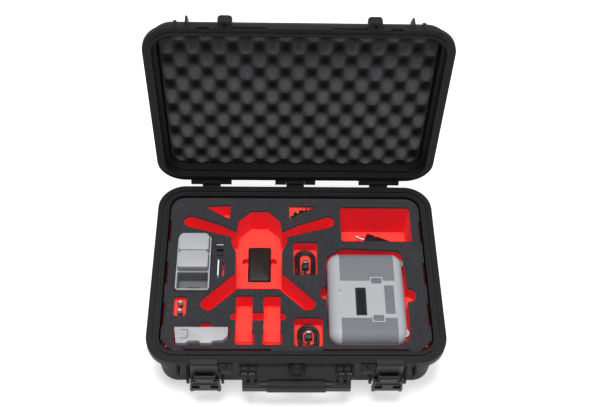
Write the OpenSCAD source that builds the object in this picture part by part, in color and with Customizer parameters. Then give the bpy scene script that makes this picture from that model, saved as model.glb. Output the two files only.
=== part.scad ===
// Hard transport case with a hinged lid, cut foam and the flying kit that lies in it.
// Origin at the middle of the flat bottom, +X to the right, +Y to the hinges, +Z up.
// The lid is drawn open, on its stop.

/* [Case] */
// Width of the case over its rim
case_w = 470; // [460:2:570]
// Depth of the case over its rim
case_d = 340; // [334:2:420]
// Height of the base, from its flat bottom to the rim
base_h = 105; // [102:1:150]
// Height of the lid, from the rim to its top
lid_h = 40; // [39:1:60]
// Corner radius of the rim
rim_corner_r = 46; // [38:1:56]
// Width of the flat rim band
rim_w = 20; // [19:0.5:21]
// Height of the rim flange on the base
rim_flange_h = 14; // [10:1:16]
// Height of the rim flange on the lid
lid_flange_h = 8; // [6:0.5:9]
// Step from the rim's edge back to the base wall
wall_inset = 11; // [8:0.5:11]
// Step from the rim's edge back to the lid wall
lid_inset = 5; // [3:0.5:8]
// Draft of the base walls over their height
wall_draft = 5; // [0:0.5:6]
// Thickness of the base's bottom and of the lid's top
wall = 4; // [3:0.5:6]
// Radius along the bottom edges of the base
bottom_r = 16; // [12:1:17]
// Radius along the top edges of the lid
lid_edge_r = 25; // [18:1:28]
// Draft of the lid walls over their height
lid_draft = 3; // [0:0.5:5]
// Gap between the two rims when the lid is closed
lid_gap = 0.3; // [0.1:0.1:1]
// Angle at which the open lid stands
lid_open = 92.5; // [80:0.5:100]

/* [Seal] */
// Distance of the seal groove from the rim's edge
groove_inset = 9.7; // [8:0.1:11]
// Width of the seal groove
groove_w = 4.1; // [3.5:0.1:4.5]
// Depth of the seal groove
groove_depth = 6; // [5:0.5:8]
// Height of the rubber seal in the groove
seal_h = 3.2; // [2:0.1:3.4]
// Height of the lid's tongue that presses the seal
tongue_h = 2.2; // [1:0.1:2.3]
// Depth of the step inside the lid's tongue
lid_step = 8; // [6:0.5:10]

/* [Hinges] */
// Distance from the middle hinge to an outer one
hinge_x = 146; // [120:1:170]
// Width of one hinge
hinge_w = 70; // [50:1:80]
// Width of the base's middle knuckle
hinge_knuckle_w = 31; // [20:1:36]
// Radius of the hinge knuckles
knuckle_r = 6; // [5:0.25:7]
// Radius of the hinge pins
hinge_pin_r = 2.5; // [2:0.1:3]
// Distance of the hinge axis behind the rim's edge
hinge_out = 8; // [7.5:0.5:10]
// Height of the hinge axis above the rim
hinge_up = 5; // [4:0.5:7]

/* [Latches] */
// Distance of a latch from the middle
latch_x = 142; // [120:1:150]
// Width of the hook plate
hook_w = 41; // [30:1:44]
// Width of the lever at its foot
lever_w = 49; // [44:1:52]
// Radius of the latch pins in the base
latch_pin_r = 2; // [1.5:0.1:2.5]
// Radius of the lever pins in the hooks
lever_pin_r = 1.6; // [1.2:0.1:2]
// Distance from a latch to the padlock lug beside it
lug_step = 32; // [31:0.5:36]
// Width of a padlock lug
lug_w = 22; // [14:1:24]
// Radius of the padlock holes
lug_hole_r = 3.5; // [2.5:0.1:4.5]

/* [Handle] */
// Width of the handle over its arms
handle_w = 169; // [160:1:180]
// Width of the finger gap inside the handle
handle_gap_w = 114; // [100:1:120]
// Radius of the handle pins
handle_pin_r = 2.5; // [2:0.1:3]
// Length of the soft grip
grip_l = 92; // [70:1:104]

/* [Valve] */
// Radius of the valve cap
valve_r = 14; // [11:0.5:15]
// Number of grip notches round the valve cap
valve_notches = 18; // [12:1:24]

/* [Foam] */
// Gap from the foam to the base wall
foam_gap = 2; // [0.5:0.5:4]
// Depth of the foam's top below the rim
foam_drop = 5; // [3:0.5:8]
// Thickness of the dark top layer
cover_t = 3; // [2:0.5:8]
// Thickness of the pad under the cut block
floor_pad_t = 17; // [12:1:20]
// Distance between egg crate peaks along a row
crate_pitch = 39; // [30:1:50]
// Distance between egg crate rows
crate_row = 26; // [20:1:34]
// Depth of the egg crate valleys
crate_depth = 14; // [8:1:16]
// Depth of the egg crate peaks behind the lid's rim
crate_drop = 14.6; // [14:0.1:20]

/* [Flyer pocket] */
// Middle of the flyer pocket, left to right
flyer_x = -61.5; // [-70:0.5:-55]
// Depth of the flyer pocket's floor below the rim
flyer_floor = 60; // [40:1:66]
// Width of the flyer's body
flyer_w = 77; // [70:1:80]
// Width of the charging block in the floor
block_w = 38; // [30:1:44]
// Length of the charging block
block_l = 69; // [50:1:76]
// Height of the charging block
block_h = 23; // [15:1:24]

/* [Remote] */
// Width of the remote, from its foot to its shoulder
remote_w = 123; // [110:1:126]
// Length of the remote over its grips
remote_l = 165; // [150:1:168]
// Thickness of the remote
remote_h = 46; // [38:1:60]
// Height of the remote's crown above the rim
remote_up = 13; // [8:0.5:13.5]
// Depth of the rubber grips from the remote's back
grip_h = 14; // [10:0.5:18]

/* [Charging hub] */
// Width of the hub
hub_w = 55; // [50:1:57]
// Length of the hub over its bays
hub_l = 104; // [98:1:106]
// Height of the hub
hub_h = 30; // [26:1:60]
// Wall of the hub
hub_wall = 2; // [1.5:0.1:2.5]
// Wall of the dark liner in each bay
liner_wall = 0.8; // [0.6:0.1:1.2]
// Height of a battery above the hub's rim
battery_up = 13; // [8:0.5:13.5]

/* [Spare kit] */
// Length of the spare battery
spare_l = 84; // [70:1:84]
// Height of the spare battery
spare_h = 37; // [24:1:60]
// Length of the wall charger with its head
charger_l = 45; // [36:1:46]
// Width of the wall charger
charger_w = 32; // [24:1:33]
// Height of the wall charger
charger_h = 30; // [20:1:40]
// Distance between the charger's prongs
prong_step = 19; // [14:0.5:20]
// Diameter of the cables
cable_d = 2.6; // [2:0.1:2.8]
// Step between the turns of a cable
cable_step = 3.4; // [3.2:0.1:4]
// Turns in one layer of a wound cable
cable_turns = 2; // [1:1:2]
// Diameter of a control stick's cap
stick_d = 9; // [6:0.5:10]

/* [Hidden] */
$fn = 64;
// Running clearance round a pin, and the free gap beside a moving piece
pin_clear = 0.05;
side_gap = 0.5;
// Gap round a piece that is fixed in a recess
fit_gap = 0.1;
// How far the round ends of a tapered slot stand proud of its sides
slot_proud = 0.05;
// Clearance of loose kit in its foam pocket, and under it
kit_gap = 1;
seat_gap = 0.3;

rim_z = base_h;
half_d = case_d / 2;
cavity_w = case_w - 2 * rim_w;
cavity_d = case_d - 2 * rim_w;
cavity_r = rim_corner_r - rim_w;
cavity_low_r = bottom_r - 6;
wall_front = -half_d + wall_inset + wall;
hinge_y = half_d + hinge_out;
hinge_z = rim_z + hinge_up;
hinge_side_w = (hinge_w - hinge_knuckle_w) / 2 - side_gap;
hinge_places = [-hinge_x, 0, hinge_x];

// Latch pivots, measured from the front edge of the rim
latch_pivot_y = -half_d - 8;
latch_pivot_z = rim_z - 42;
lever_pivot_y = -half_d - 16;
lever_pivot_z = rim_z - 18;
hook_r = 6;
hook_plate_t = 4;
hook_reach = 1.5;
hook_deep = 10;
hook_under = 10;
ear_t = 4;
ear_in = lever_w / 2 + side_gap;
lug_x = latch_x - lug_step;
lug_y = -half_d - 5;
lug_r = 8;
lug_corner_r = 6;
lug_top = 3;
lug_h = 9;
lid_lug_h = 14;
recess_l = 51;
lever_knuckle_r = 4;
lever_knuckle_w = 27;
lever_lug_t = 3;

// Handle pivot and bar
handle_pivot_y = -half_d - 8;
handle_pivot_z = rim_z - 24;
handle_rib_t = 4;
handle_rib_step = 12;
handle_ribs = [for (i = [0:2]) handle_w / 2 + side_gap + handle_rib_t / 2 - i * handle_rib_step];
bar_y = -half_d - 16;
bar_z = rim_z - 47;
bar_t = 14;
bar_h = 21;
bar_r = 6;
grip_wall = 1.6;

valve_z = rim_z - valve_r - 2;
valve_core_r = 7;
valve_face = -half_d - 0.5;
valve_seal_t = 0.6;
valve_cap_t = 9;

foam_w = cavity_w - 2 * foam_gap;
foam_d = cavity_d - 2 * foam_gap;
foam_r = cavity_r - foam_gap;
foam_top = rim_z - foam_drop;
block_top = foam_top - cover_t;
pad_top = wall + floor_pad_t;
// Squares cut off the front corners of the red sheets and of the dark layer
corner_cut = 24;
cover_corner_cut = 30;

// Egg crate sampling: four points over each period
crate_base = lid_h - wall;
crate_w = cavity_w - 4;
crate_d = cavity_d - 4;
crate_r = cavity_r - 2;
crate_nx = 4 * round(crate_w / crate_pitch);
crate_ny = 2 * round(crate_d / crate_row);
lid_inner_r = 10;

// Remote placed by its middle
remote_x = 112.5;
remote_y = -54.5;
remote_top = rim_z + remote_up;
remote_bottom = remote_top - remote_h;
remote_part = rim_z - 8;
remote_r = 20;
remote_low_r = 8;
remote_high_r = 17;
grip_x = 3;
grip_w = 90;
vent_place = [-10, -14];
vent_size = [17, 51];
vent_deep = 4;
plate_place = [36, -10.5];
plate_size = [15, 52];
plate_t = 1;
screen_size = [78, 122];
screen_t = 1.4;
button_l = 16;
button_w = 9.5;
button_x = 16.5;
button_places = [24.5, -44];
button_deep = 6;
button_up = 1.2;
button_travel = 1;
button_frame = 2.5;
// Each grip runs from the middle of its button to the remote's end
grip_back_l = remote_l / 2 - button_places[0];
grip_front_l = remote_l / 2 + button_places[1];
screw_r = 1.25;
screw_head_r = 2.2;
dial_r = 8;
dial_h = 6.4;
dial_x = remote_w / 2 - 5.5;
dial_places = [remote_l / 2 - 18, -remote_l / 2 + 18];
dial_z = rim_z - 4;
dial_post_r = 1.5;
screw_places = [[-43.5, 5.5], [-43.5, -35.5]];

hub_x = -168.5;
hub_y = 12;
hub_bays = 3;
bay_step = (hub_l - hub_wall) / hub_bays;
bay_w = hub_w - 2 * hub_wall;
bay_d = bay_step - hub_wall;
hub_floor = 3;
hub_bottom = rim_z - hub_h;
battery_w = bay_w - 2 * liner_wall - kit_gap;
battery_d = bay_d - 2 * liner_wall - kit_gap;

spare_x = -150;
spare_y = -122;
spare_back = 14;
spare_gap = 2.5;

charger_x = 120.5;
charger_y = 93.4;
charger_turn = -24;
charger_floor = 80;
charger_head_l = 16;

cable_floor = 30;
cable_low = rim_z - cable_floor + 0.1;
cable_inner = 10;
cable_rings = 24;
lead_bend = 5.5;
lead_mid = cable_inner - lead_bend;
lead_rings = 10;
plug_w = 10;
plug_h = 5;
plug_l = 11;
plug_tip_l = 5;
plug_tip_h = 2.4;
plug_gap = 0.2;
plug_socket = 2;
plug_y = 2.6;
// Middle of each cable pocket, its size, and half the straight run of the turns in it
short_place = [16, 24.5];
short_pocket = [40, 65];
short_run = 12;
long_place = [19, -113.5];
long_pocket = [46, 51];
long_run = 6.5;

prop_floor = 12;
prop_count = 4;
prop_t = 1.2;
stick_floor = 15;
stick_places = [[-185.5, -62], [-185.5, -77]];
card_x = -126;
card_slits = [46, 38, 29];
card_floor = 15;
storage_place = [-127.5, 1];

// Plain helpers
module rounded_rect(w, d, r) {
    square([w - 2 * r, d], center = true);
    square([w, d - 2 * r], center = true);
    for (sx = [-1, 1], sy = [-1, 1])
        translate([sx * (w / 2 - r), sy * (d / 2 - r)]) circle(r = r);
}

module rim_outline(inset) {
    rounded_rect(case_w - 2 * inset, case_d - 2 * inset, rim_corner_r - inset);
}

module rim_ring(inset, w) {
    difference() {
        rim_outline(inset);
        rim_outline(inset + w);
    }
}

// Draws a flat shape given as [depth, height] and gives it a width along X
module along_x(w, x = 0) {
    translate([x, 0, 0]) rotate([90, 0, 90]) linear_extrude(w, center = true) children();
}

// Draws a flat shape given as [width, height] and gives it a depth along Y
module along_y(d, y = 0) {
    translate([0, y, 0]) rotate([90, 0, 0]) linear_extrude(d, center = true) children();
}

module pin_x(r, w, x, y, z) {
    translate([x, y, z]) rotate([0, 90, 0]) cylinder(r = r, h = w, center = true);
}

module both_sides() {
    children();
    mirror([1, 0, 0]) children();
}

module lid_pose() {
    translate([0, hinge_y, hinge_z]) rotate([-lid_open, 0, 0])
        translate([0, -hinge_y, -hinge_z]) children();
}

// A slot with two round ends of different size and straight sides between them
module taper_slot(p, rp, q, rq) {
    span = norm(q - p);
    lean = atan2(q[1] - p[1], q[0] - p[0]);
    side = acos((rp - rq) / span);
    ends = [for (s = [1, -1]) [cos(lean + s * side), sin(lean + s * side)]];
    polygon([p + rp * ends[0], q + rq * ends[0], q + rq * ends[1], p + rp * ends[1]]);
    translate(p) circle(r = rp + slot_proud);
    translate(q) circle(r = rq + slot_proud);
}

// Outer part of a section, from 0 out to r, rounded at its low and high outer corners
module edge_section(r, z0, z1, low_r, high_r, low_in, high_in) {
    low = r - low_in;
    high = r - high_in;
    polygon([
        [0, z0], [low - low_r, z0], [low, z0 + low_r], [high, z1 - high_r], [high - high_r, z1], [0, z1]
    ]);
    if (low_r > 0) translate([low - low_r, z0 + low_r]) intersection() {
        circle(r = low_r);
        translate([0, -low_r]) square(low_r);
    }
    if (high_r > 0) translate([high - high_r, z1 - high_r]) intersection() {
        circle(r = high_r);
        square(high_r);
    }
}

// A rounded box: the section runs along its four sides and is turned round its corners
module pillow(w, d, r, z0, z1, low_r = 0, high_r = 0, low_in = 0, high_in = 0) {
    translate([0, 0, (z0 + z1) / 2]) cube([w - 2 * r, d - 2 * r, z1 - z0], center = true);
    for (sx = [0, 1]) {
        mirror([sx, 0, 0]) translate([w / 2 - r, 0, 0])
            along_y(d - 2 * r) edge_section(r, z0, z1, low_r, high_r, low_in, high_in);
        mirror([0, sx, 0]) translate([0, d / 2 - r, 0])
            along_x(w - 2 * r) edge_section(r, z0, z1, low_r, high_r, low_in, high_in);
        for (sy = [0, 1]) mirror([sx, 0, 0]) mirror([0, sy, 0]) translate([w / 2 - r, d / 2 - r, 0])
            rotate_extrude(angle = 90) edge_section(r, z0, z1, low_r, high_r, low_in, high_in);
    }
}

// Base of the case
module base_tub() {
    pillow(case_w - 2 * wall_inset, case_d - 2 * wall_inset, rim_corner_r - wall_inset,
        0, base_h, low_r = bottom_r, low_in = wall_draft);
    translate([0, 0, rim_z - rim_flange_h]) linear_extrude(rim_flange_h) rim_outline(0);
}

module base_knuckle(x) {
    along_x(hinge_knuckle_w, x) {
        translate([hinge_y, hinge_z]) circle(r = knuckle_r);
        polygon([
            [half_d - 2, rim_z - rim_flange_h], [hinge_y, rim_z - rim_flange_h],
            [hinge_y + knuckle_r, rim_z - rim_flange_h + knuckle_r], [hinge_y + knuckle_r, hinge_z],
            [hinge_y - knuckle_r, hinge_z], [hinge_y - knuckle_r, rim_z - side_gap],
            [half_d - 2, rim_z - side_gap]
        ]);
    }
}

module latch_ear(x) {
    along_x(ear_t, x) polygon([
        [wall_front, rim_z - rim_flange_h + 2], [-half_d + 2, rim_z - rim_flange_h + 2],
        [latch_pivot_y - hook_r, latch_pivot_z + 10], [latch_pivot_y - hook_r, latch_pivot_z - 2],
        [latch_pivot_y - 2, latch_pivot_z - 7], [wall_front, latch_pivot_z - 10]
    ]);
}

module padlock_lug(z, h) {
    translate([lug_x, 0, z]) linear_extrude(h) difference() {
        union() {
            translate([0, lug_y]) rounded_rect(lug_w, 2 * lug_r, lug_corner_r);
            translate([-lug_w / 2, lug_y]) square([lug_w, 14]);
        }
        translate([0, lug_y]) circle(r = lug_hole_r);
    }
}

module strap_rib(x) {
    along_x(3, x) polygon([
        [wall_front, rim_z - rim_flange_h + 2], [-half_d, rim_z - rim_flange_h + 2],
        [-half_d - 10, rim_z - rim_flange_h - 6], [-half_d - 10, rim_z - 36], [wall_front, rim_z - 44]
    ]);
}

module handle_rib(x) {
    along_x(handle_rib_t, x) polygon([
        [wall_front, rim_z - rim_flange_h + 2], [handle_pivot_y + 2, rim_z - rim_flange_h + 2],
        [handle_pivot_y - 6, handle_pivot_z + 4], [handle_pivot_y - 6, handle_pivot_z - 5],
        [handle_pivot_y, handle_pivot_z - 10], [wall_front, handle_pivot_z - 12]
    ]);
}

module valve_axis(r, y0, y1) {
    translate([0, y0, valve_z]) rotate([90, 0, 0]) cylinder(r = r, h = y0 - y1);
}

module base_shell() {
    color("#26272a") difference() {
        union() {
            base_tub();
            for (x = hinge_places) base_knuckle(x);
            both_sides() {
                for (s = [-1, 1]) latch_ear(latch_x + s * (ear_in + ear_t / 2));
                strap_rib(latch_x + ear_in + 17);
                for (x = handle_ribs) handle_rib(x);
            }
            valve_axis(valve_r + 1, wall_front, valve_face);
        }
        pillow(cavity_w, cavity_d, cavity_r, wall, base_h + 1, low_r = cavity_low_r);
        translate([0, 0, rim_z - groove_depth])
            linear_extrude(groove_depth + 1) rim_ring(groove_inset, groove_w);
        for (x = hinge_places) pin_x(hinge_pin_r + pin_clear, hinge_knuckle_w + 1, x, hinge_y, hinge_z);
        both_sides() {
            pin_x(latch_pin_r + pin_clear, lever_w + 3 * ear_t, latch_x, latch_pivot_y, latch_pivot_z);
            pin_x(handle_pin_r + pin_clear, 2 * handle_rib_step + handle_rib_t + 1,
                handle_ribs[1], handle_pivot_y, handle_pivot_z);
        }
        valve_axis(valve_core_r + pin_clear, -half_d + rim_w + 1, valve_face - 1);
    }
}

// Padlock lugs, seated on the front of the base's flange
module base_lugs() {
    color("#26272a") both_sides() difference() {
        padlock_lug(rim_z - lug_top - lug_h, lug_h);
        translate([-case_w, -half_d, 0]) cube([2 * case_w, case_d, base_h]);
    }
}

module rim_seal() {
    color("#17181a") translate([0, 0, rim_z - groove_depth])
        linear_extrude(seal_h) rim_ring(groove_inset + 0.1, groove_w - 0.2);
}

module hinge_pins() {
    color("#6c6e72") for (x = hinge_places) pin_x(hinge_pin_r, hinge_w, x, hinge_y, hinge_z);
}

module latch_pins() {
    color("#6c6e72") both_sides()
        pin_x(latch_pin_r, lever_w + 2 * (ear_t + side_gap), latch_x, latch_pivot_y, latch_pivot_z);
}

module handle_pins() {
    color("#6c6e72") both_sides()
        pin_x(
            handle_pin_r, 2 * handle_rib_step + handle_rib_t,
            handle_ribs[1], handle_pivot_y, handle_pivot_z
        );
}

// Pressure valve in the front wall
module valve_body() {
    color("#303236") valve_axis(valve_core_r, -half_d + rim_w - 0.5, valve_face - 2);
}

module valve_seal() {
    color("#101113") difference() {
        valve_axis(valve_r - 2, valve_face, valve_face - valve_seal_t);
        valve_axis(valve_core_r + 0.2, valve_face + 1, valve_face - 2);
    }
}

module valve_cap() {
    back = valve_face - valve_seal_t - 0.1;
    color("#2e3033") difference() {
        union() {
            valve_axis(valve_r, back, back - valve_cap_t + 2);
            valve_axis(valve_r - 2, back, back - valve_cap_t);
        }
        valve_axis(valve_core_r + pin_clear, back + 1, valve_face - 2.3);
        for (i = [0:valve_notches - 1])
            translate([0, back + 1, valve_z]) rotate([0, i * 360 / valve_notches, 0])
                translate([valve_r, 0, 0]) rotate([90, 0, 0]) cylinder(r = 1, h = valve_cap_t + 2, $fn = 16);
        for (s = [-1, 1]) translate([s * 5.5, back - valve_cap_t, valve_z])
            cube([4, 3, 1.6 * valve_r], center = true);
    }
}

// Lid of the case, drawn closed and then swung open
module lid_hollow() {
    pillow(cavity_w, cavity_d, cavity_r, rim_z - 5, rim_z + crate_base, high_r = lid_inner_r);
    translate([0, 0, rim_z - 5]) linear_extrude(5 + lid_step) rim_outline(groove_inset + groove_w - 0.4);
}

module lid_knuckle(x) {
    along_x(hinge_side_w, x) {
        translate([hinge_y, hinge_z]) circle(r = knuckle_r);
        polygon([
            [half_d - lid_inset - 2, rim_z + 1], [half_d + 1, rim_z + 1], [hinge_y, hinge_z - knuckle_r],
            [hinge_y, hinge_z + knuckle_r], [half_d - lid_inset - 2, hinge_z + knuckle_r + 3]
        ]);
    }
}

// Upright rib beside each latch that keeps the hook from side knocks
module lid_guard(x, out, t) {
    along_x(t, x) polygon([
        [-half_d + 10, rim_z + 1], [-half_d - out, rim_z + 1], [-half_d - out, rim_z + 14],
        [-half_d + 10, rim_z + 30]
    ]);
}

module lid_tray() {
    pillow(case_w - 2 * lid_inset, case_d - 2 * lid_inset, rim_corner_r - lid_inset,
        rim_z + lid_gap, rim_z + lid_h, high_r = lid_edge_r, high_in = lid_draft);
    translate([0, 0, rim_z + lid_gap]) linear_extrude(lid_flange_h - lid_gap) rim_outline(0);
}

// Padlock lugs, seated on the lid's flange and on the wall above it
module lid_lugs() {
    color("#26272a") lid_pose() both_sides() difference() {
        padlock_lug(rim_z + 0.5, lid_lug_h);
        lid_tray();
    }
}

module lid_shell() {
    color("#26272a") lid_pose() difference() {
        union() {
            lid_tray();
            translate([0, 0, rim_z - tongue_h]) linear_extrude(tongue_h + 1)
                rim_ring(groove_inset + 0.4, groove_w - 0.8);
            for (x = hinge_places, s = [-1, 1])
                lid_knuckle(x + s * (hinge_w - hinge_side_w) / 2);
            both_sides() {
                lid_guard(latch_x + hook_w / 2 + 3.5, 12, 3);
                lid_guard(latch_x + ear_in + 17, 3, 3);
            }
        }
        lid_hollow();
        for (x = hinge_places) pin_x(hinge_pin_r + pin_clear, hinge_w + 1, x, hinge_y, hinge_z);
        both_sides() {
            // Room for the hook over the catch ledge, and the notch in the rim below it
            translate([latch_x - hook_w / 2 - 1.5, -half_d - 1, rim_z + lid_flange_h])
                cube([hook_w + 3, 10, lid_h]);
            translate([latch_x - 9, -half_d - 1, rim_z - 1]) cube([18, 6, 5]);
            // Shadow step beside the padlock lug
            translate([lug_x - lug_w / 2 - recess_l, -half_d - 1, rim_z - 1]) cube([recess_l, 4, 5]);
        }
    }
}

// Egg crate pad in the lid: one closed sheet of peaks and valleys
function crate_fit(x, y) =
    let (cx = crate_w / 2 - crate_r, cy = crate_d / 2 - crate_r)
    let (dx = abs(x) - cx, dy = abs(y) - cy)
    let (far = dx > 0 && dy > 0 ? norm([dx, dy]) : 0)
    let (k = far > crate_r ? crate_r / far : 1)
    [sign(x) * (k < 1 ? cx + dx * k : abs(x)), sign(y) * (k < 1 ? cy + dy * k : abs(y))];
function crate_wave(i, j) = cos(90 * i) * cos(90 * j);
function crate_point(i, j) =
    let (x = crate_w * (i / crate_nx - 0.5), y = crate_d * (j / crate_ny - 0.5))
    let (edge = i == 0 || j == 0 || i == crate_nx || j == crate_ny)
    let (rise = edge ? crate_depth * 0.7 : crate_depth * (1 - crate_wave(i, j)) / 2)
    concat(crate_fit(x, y), rim_z + crate_drop + rise);
function crate_id(i, j) = i * (crate_ny + 1) + j;
// Grid places round the edge, walked once
crate_edge = concat(
    [for (i = [0:crate_nx - 1]) [i, 0]],
    [for (j = [0:crate_ny - 1]) [crate_nx, j]],
    [for (i = [crate_nx:-1:1]) [i, crate_ny]],
    [for (j = [crate_ny:-1:1]) [0, j]]
);

module lid_foam() {
    n = len(crate_edge);
    count = (crate_nx + 1) * (crate_ny + 1);
    tops = [for (i = [0:crate_nx], j = [0:crate_ny]) crate_point(i, j)];
    deep = rim_z + crate_base - lid_inner_r - 0.5;
    lows = [for (e = crate_edge) let (p = crate_point(e[0], e[1])) [p[0], p[1], deep]];
    shrink = 1 - 2 * lid_inner_r / crate_d;
    backs = [for (p = lows) [p[0] * shrink, p[1] * shrink, rim_z + crate_base]];
    middle = [[0, 0, rim_z + crate_base]];
    sheet = [for (i = [0:crate_nx - 1], j = [0:crate_ny - 1], h = [0, 1])
        h == 0 ? [crate_id(i, j), crate_id(i, j + 1), crate_id(i + 1, j + 1)]
               : [crate_id(i, j), crate_id(i + 1, j + 1), crate_id(i + 1, j)]];
    skirt = [for (k = [0:n - 1], h = [0, 1])
        let (a = crate_edge[k], b = crate_edge[(k + 1) % n], m = (k + 1) % n)
        h == 0 ? [crate_id(a[0], a[1]), crate_id(b[0], b[1]), count + m]
               : [crate_id(a[0], a[1]), count + m, count + k]];
    bevel = [for (k = [0:n - 1], h = [0, 1])
        let (m = (k + 1) % n)
        h == 0 ? [count + k, count + m, count + n + m] : [count + k, count + n + m, count + n + k]];
    back = [for (k = [0:n - 1]) [count + n + k, count + n + (k + 1) % n, count + 2 * n]];
    color("#3a3b3e") lid_pose() polyhedron(
        points = concat(tops, lows, backs, middle),
        faces = concat(sheet, skirt, bevel, back), convexity = 6
    );
}

// Latch: a hook plate on the base and a lever on the hook plate
module latch_hook(x) {
    plate = -half_d - hook_reach - hook_deep;
    color("#2b2d30") difference() {
        union() {
            along_x(hook_w, x) {
                translate([latch_pivot_y, latch_pivot_z]) circle(r = hook_r);
                polygon([
                    [-half_d - hook_reach, rim_z + hook_under],
                    [-half_d - hook_reach, rim_z + hook_under + hook_plate_t],
                    [plate + 2, rim_z + hook_under + hook_plate_t], [plate, rim_z + hook_under + 2],
                    [plate, latch_pivot_z + 12], [latch_pivot_y - hook_r, latch_pivot_z],
                    [latch_pivot_y, latch_pivot_z + 8],
                    [plate + hook_plate_t, latch_pivot_z + 12],
                    [plate + hook_plate_t, rim_z + hook_under - 1],
                    [plate + hook_plate_t + 1, rim_z + hook_under]
                ]);
            }
            for (s = [-1, 1]) along_x(lever_lug_t, x + s * (lever_knuckle_w + lever_lug_t + side_gap) / 2) {
                translate([lever_pivot_y, lever_pivot_z]) circle(r = lever_knuckle_r);
                translate([lever_pivot_y, lever_pivot_z - lever_knuckle_r])
                    square([plate + 1 - lever_pivot_y, 2 * lever_knuckle_r]);
            }
        }
        pin_x(latch_pin_r + pin_clear, hook_w + 1, x, latch_pivot_y, latch_pivot_z);
        pin_x(lever_pin_r + pin_clear, hook_w, x, lever_pivot_y, lever_pivot_z);
    }
}

module latch_lever(x) {
    foot = rim_z - 57;
    neck = lever_pivot_z - 8;
    neck_w = lever_w - 5;
    thick = 5;
    front = lever_pivot_y - 3.5;
    color("#2b2d30") difference() {
        union() {
            along_x(lever_knuckle_w, x) {
                translate([lever_pivot_y, lever_pivot_z]) circle(r = lever_knuckle_r);
                polygon([
                    [lever_pivot_y - lever_knuckle_r, lever_pivot_z],
                    [lever_pivot_y + lever_knuckle_r, lever_pivot_z],
                    [front + thick, neck - 2], [front, neck - 2]
                ]);
            }
            along_y(thick, front + thick / 2) translate([x, 0]) polygon([
                [-neck_w / 2, neck], [-lever_w / 2, foot + 4], [-lever_w / 2 + 1, foot - 3],
                [-lever_w / 2 + 5, foot - 3], [-lever_w / 2 + 7, foot], [lever_w / 2 - 7, foot],
                [lever_w / 2 - 5, foot - 3], [lever_w / 2 - 1, foot - 3], [lever_w / 2, foot + 4],
                [neck_w / 2, neck]
            ]);
            // Cross rib over the finger pockets
            along_x(neck_w - 6, x) polygon([
                [front + 1, neck - 6], [front - 1.5, neck - 8],
                [front - 1.5, neck - 10], [front + 1, neck - 12]
            ]);
        }
        pin_x(lever_pin_r + pin_clear, hook_w, x, lever_pivot_y, lever_pivot_z);
        for (s = [-1, 1]) translate([x + s * lever_w / 3.4, front, foot + 15])
            cube([lever_w / 4, 5, 14], center = true);
    }
}

module lever_pin(x) {
    pin_l = lever_knuckle_w + 2 * lever_lug_t + side_gap;
    color("#6c6e72") pin_x(lever_pin_r, pin_l, x, lever_pivot_y, lever_pivot_z);
}

module latch_hook_left() { latch_hook(-latch_x); }
module latch_hook_right() { latch_hook(latch_x); }
module latch_lever_left() { latch_lever(-latch_x); }
module latch_lever_right() { latch_lever(latch_x); }
module lever_pin_left() { lever_pin(-latch_x); }
module lever_pin_right() { lever_pin(latch_x); }

// Carrying handle
module bar_section(grow) {
    translate([bar_y, bar_z]) rounded_rect(bar_t + 2 * grow, bar_h + 2 * grow, bar_r + grow);
}

module handle_frame() {
    arm_w = (handle_w - handle_gap_w) / 2;
    arm_x = (handle_w + handle_gap_w) / 4;
    knuckle_w = handle_rib_step - handle_rib_t - 2 * side_gap;
    color("#2b2d30") difference() {
        union() {
            along_x(handle_w) bar_section(0);
            both_sides() {
                along_x(arm_w, arm_x) polygon([
                    [handle_pivot_y - 3, handle_pivot_z - 12.5], [handle_pivot_y - 13, handle_pivot_z - 12.5],
                    [bar_y - bar_t / 2, bar_z + bar_h / 2 - bar_r], [bar_y, bar_z],
                    [bar_y + bar_t / 2, bar_z + bar_h / 2 - bar_r]
                ]);
                for (i = [0, 1]) along_x(knuckle_w, (handle_ribs[i] + handle_ribs[i + 1]) / 2) {
                    translate([handle_pivot_y, handle_pivot_z]) circle(r = knuckle_r);
                    polygon([
                        [handle_pivot_y - knuckle_r, handle_pivot_z],
                        [handle_pivot_y + knuckle_r, handle_pivot_z],
                        [handle_pivot_y - 4, handle_pivot_z - 14], [handle_pivot_y - 12, handle_pivot_z - 14]
                    ]);
                }
            }
        }
        both_sides()
            pin_x(
                handle_pin_r + pin_clear, 3 * handle_rib_step,
                handle_ribs[1], handle_pivot_y, handle_pivot_z
            );
    }
}

module handle_grip() {
    color("#1d1e20") difference() {
        along_x(grip_l) bar_section(grip_wall);
        along_x(grip_l + 1) bar_section(pin_clear);
    }
}

// Cut foam: each outline is dug from its own floor up through the dark layer
module dug(depth) {
    translate([0, 0, rim_z - depth]) linear_extrude(depth + 1) children();
}

module flyer_outline() {
    h = flyer_w / 2;
    translate([flyer_x, 0]) {
        polygon([
            [-h, -35], [h, -35], [h, 78], [h - 3, 101], [14.5, 121], [-14.5, 121], [3 - h, 101], [-h, 78]
        ]);
        for (s = [-1, 1]) mirror([s < 0 ? 1 : 0, 0]) {
            taper_slot([h - 2, 70], 6, [70, 84], 9.5);
            taper_slot([70, 84], 9.5, [116.5, 99], 11.5);
            taper_slot([h - 4, -18], 13, [80, -62], 12.5);
            polygon([[h - 1, 78], [h + 8, 70], [h + 8, 56], [h - 1, 34]]);
        }
    }
}

module charging_block_place() {
    translate([flyer_x + 0.5, 46.5]) children();
}

module battery_pair_outline() {
    for (x = [-83.5, -39]) translate([x, -83.5]) rounded_rect(27, 71, 4);
    translate([-61, -85.5]) rounded_rect(88, 15, 7.4);
}

module battery_pair_foot() {
    for (x = [-82, -38.5]) translate([x, -125]) rounded_rect(31, 22, 4);
}

module corner_pocket() {
    polygon([[-51, 106], [-51, 133], [-96, 131], [-55, 106]]);
}

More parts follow.
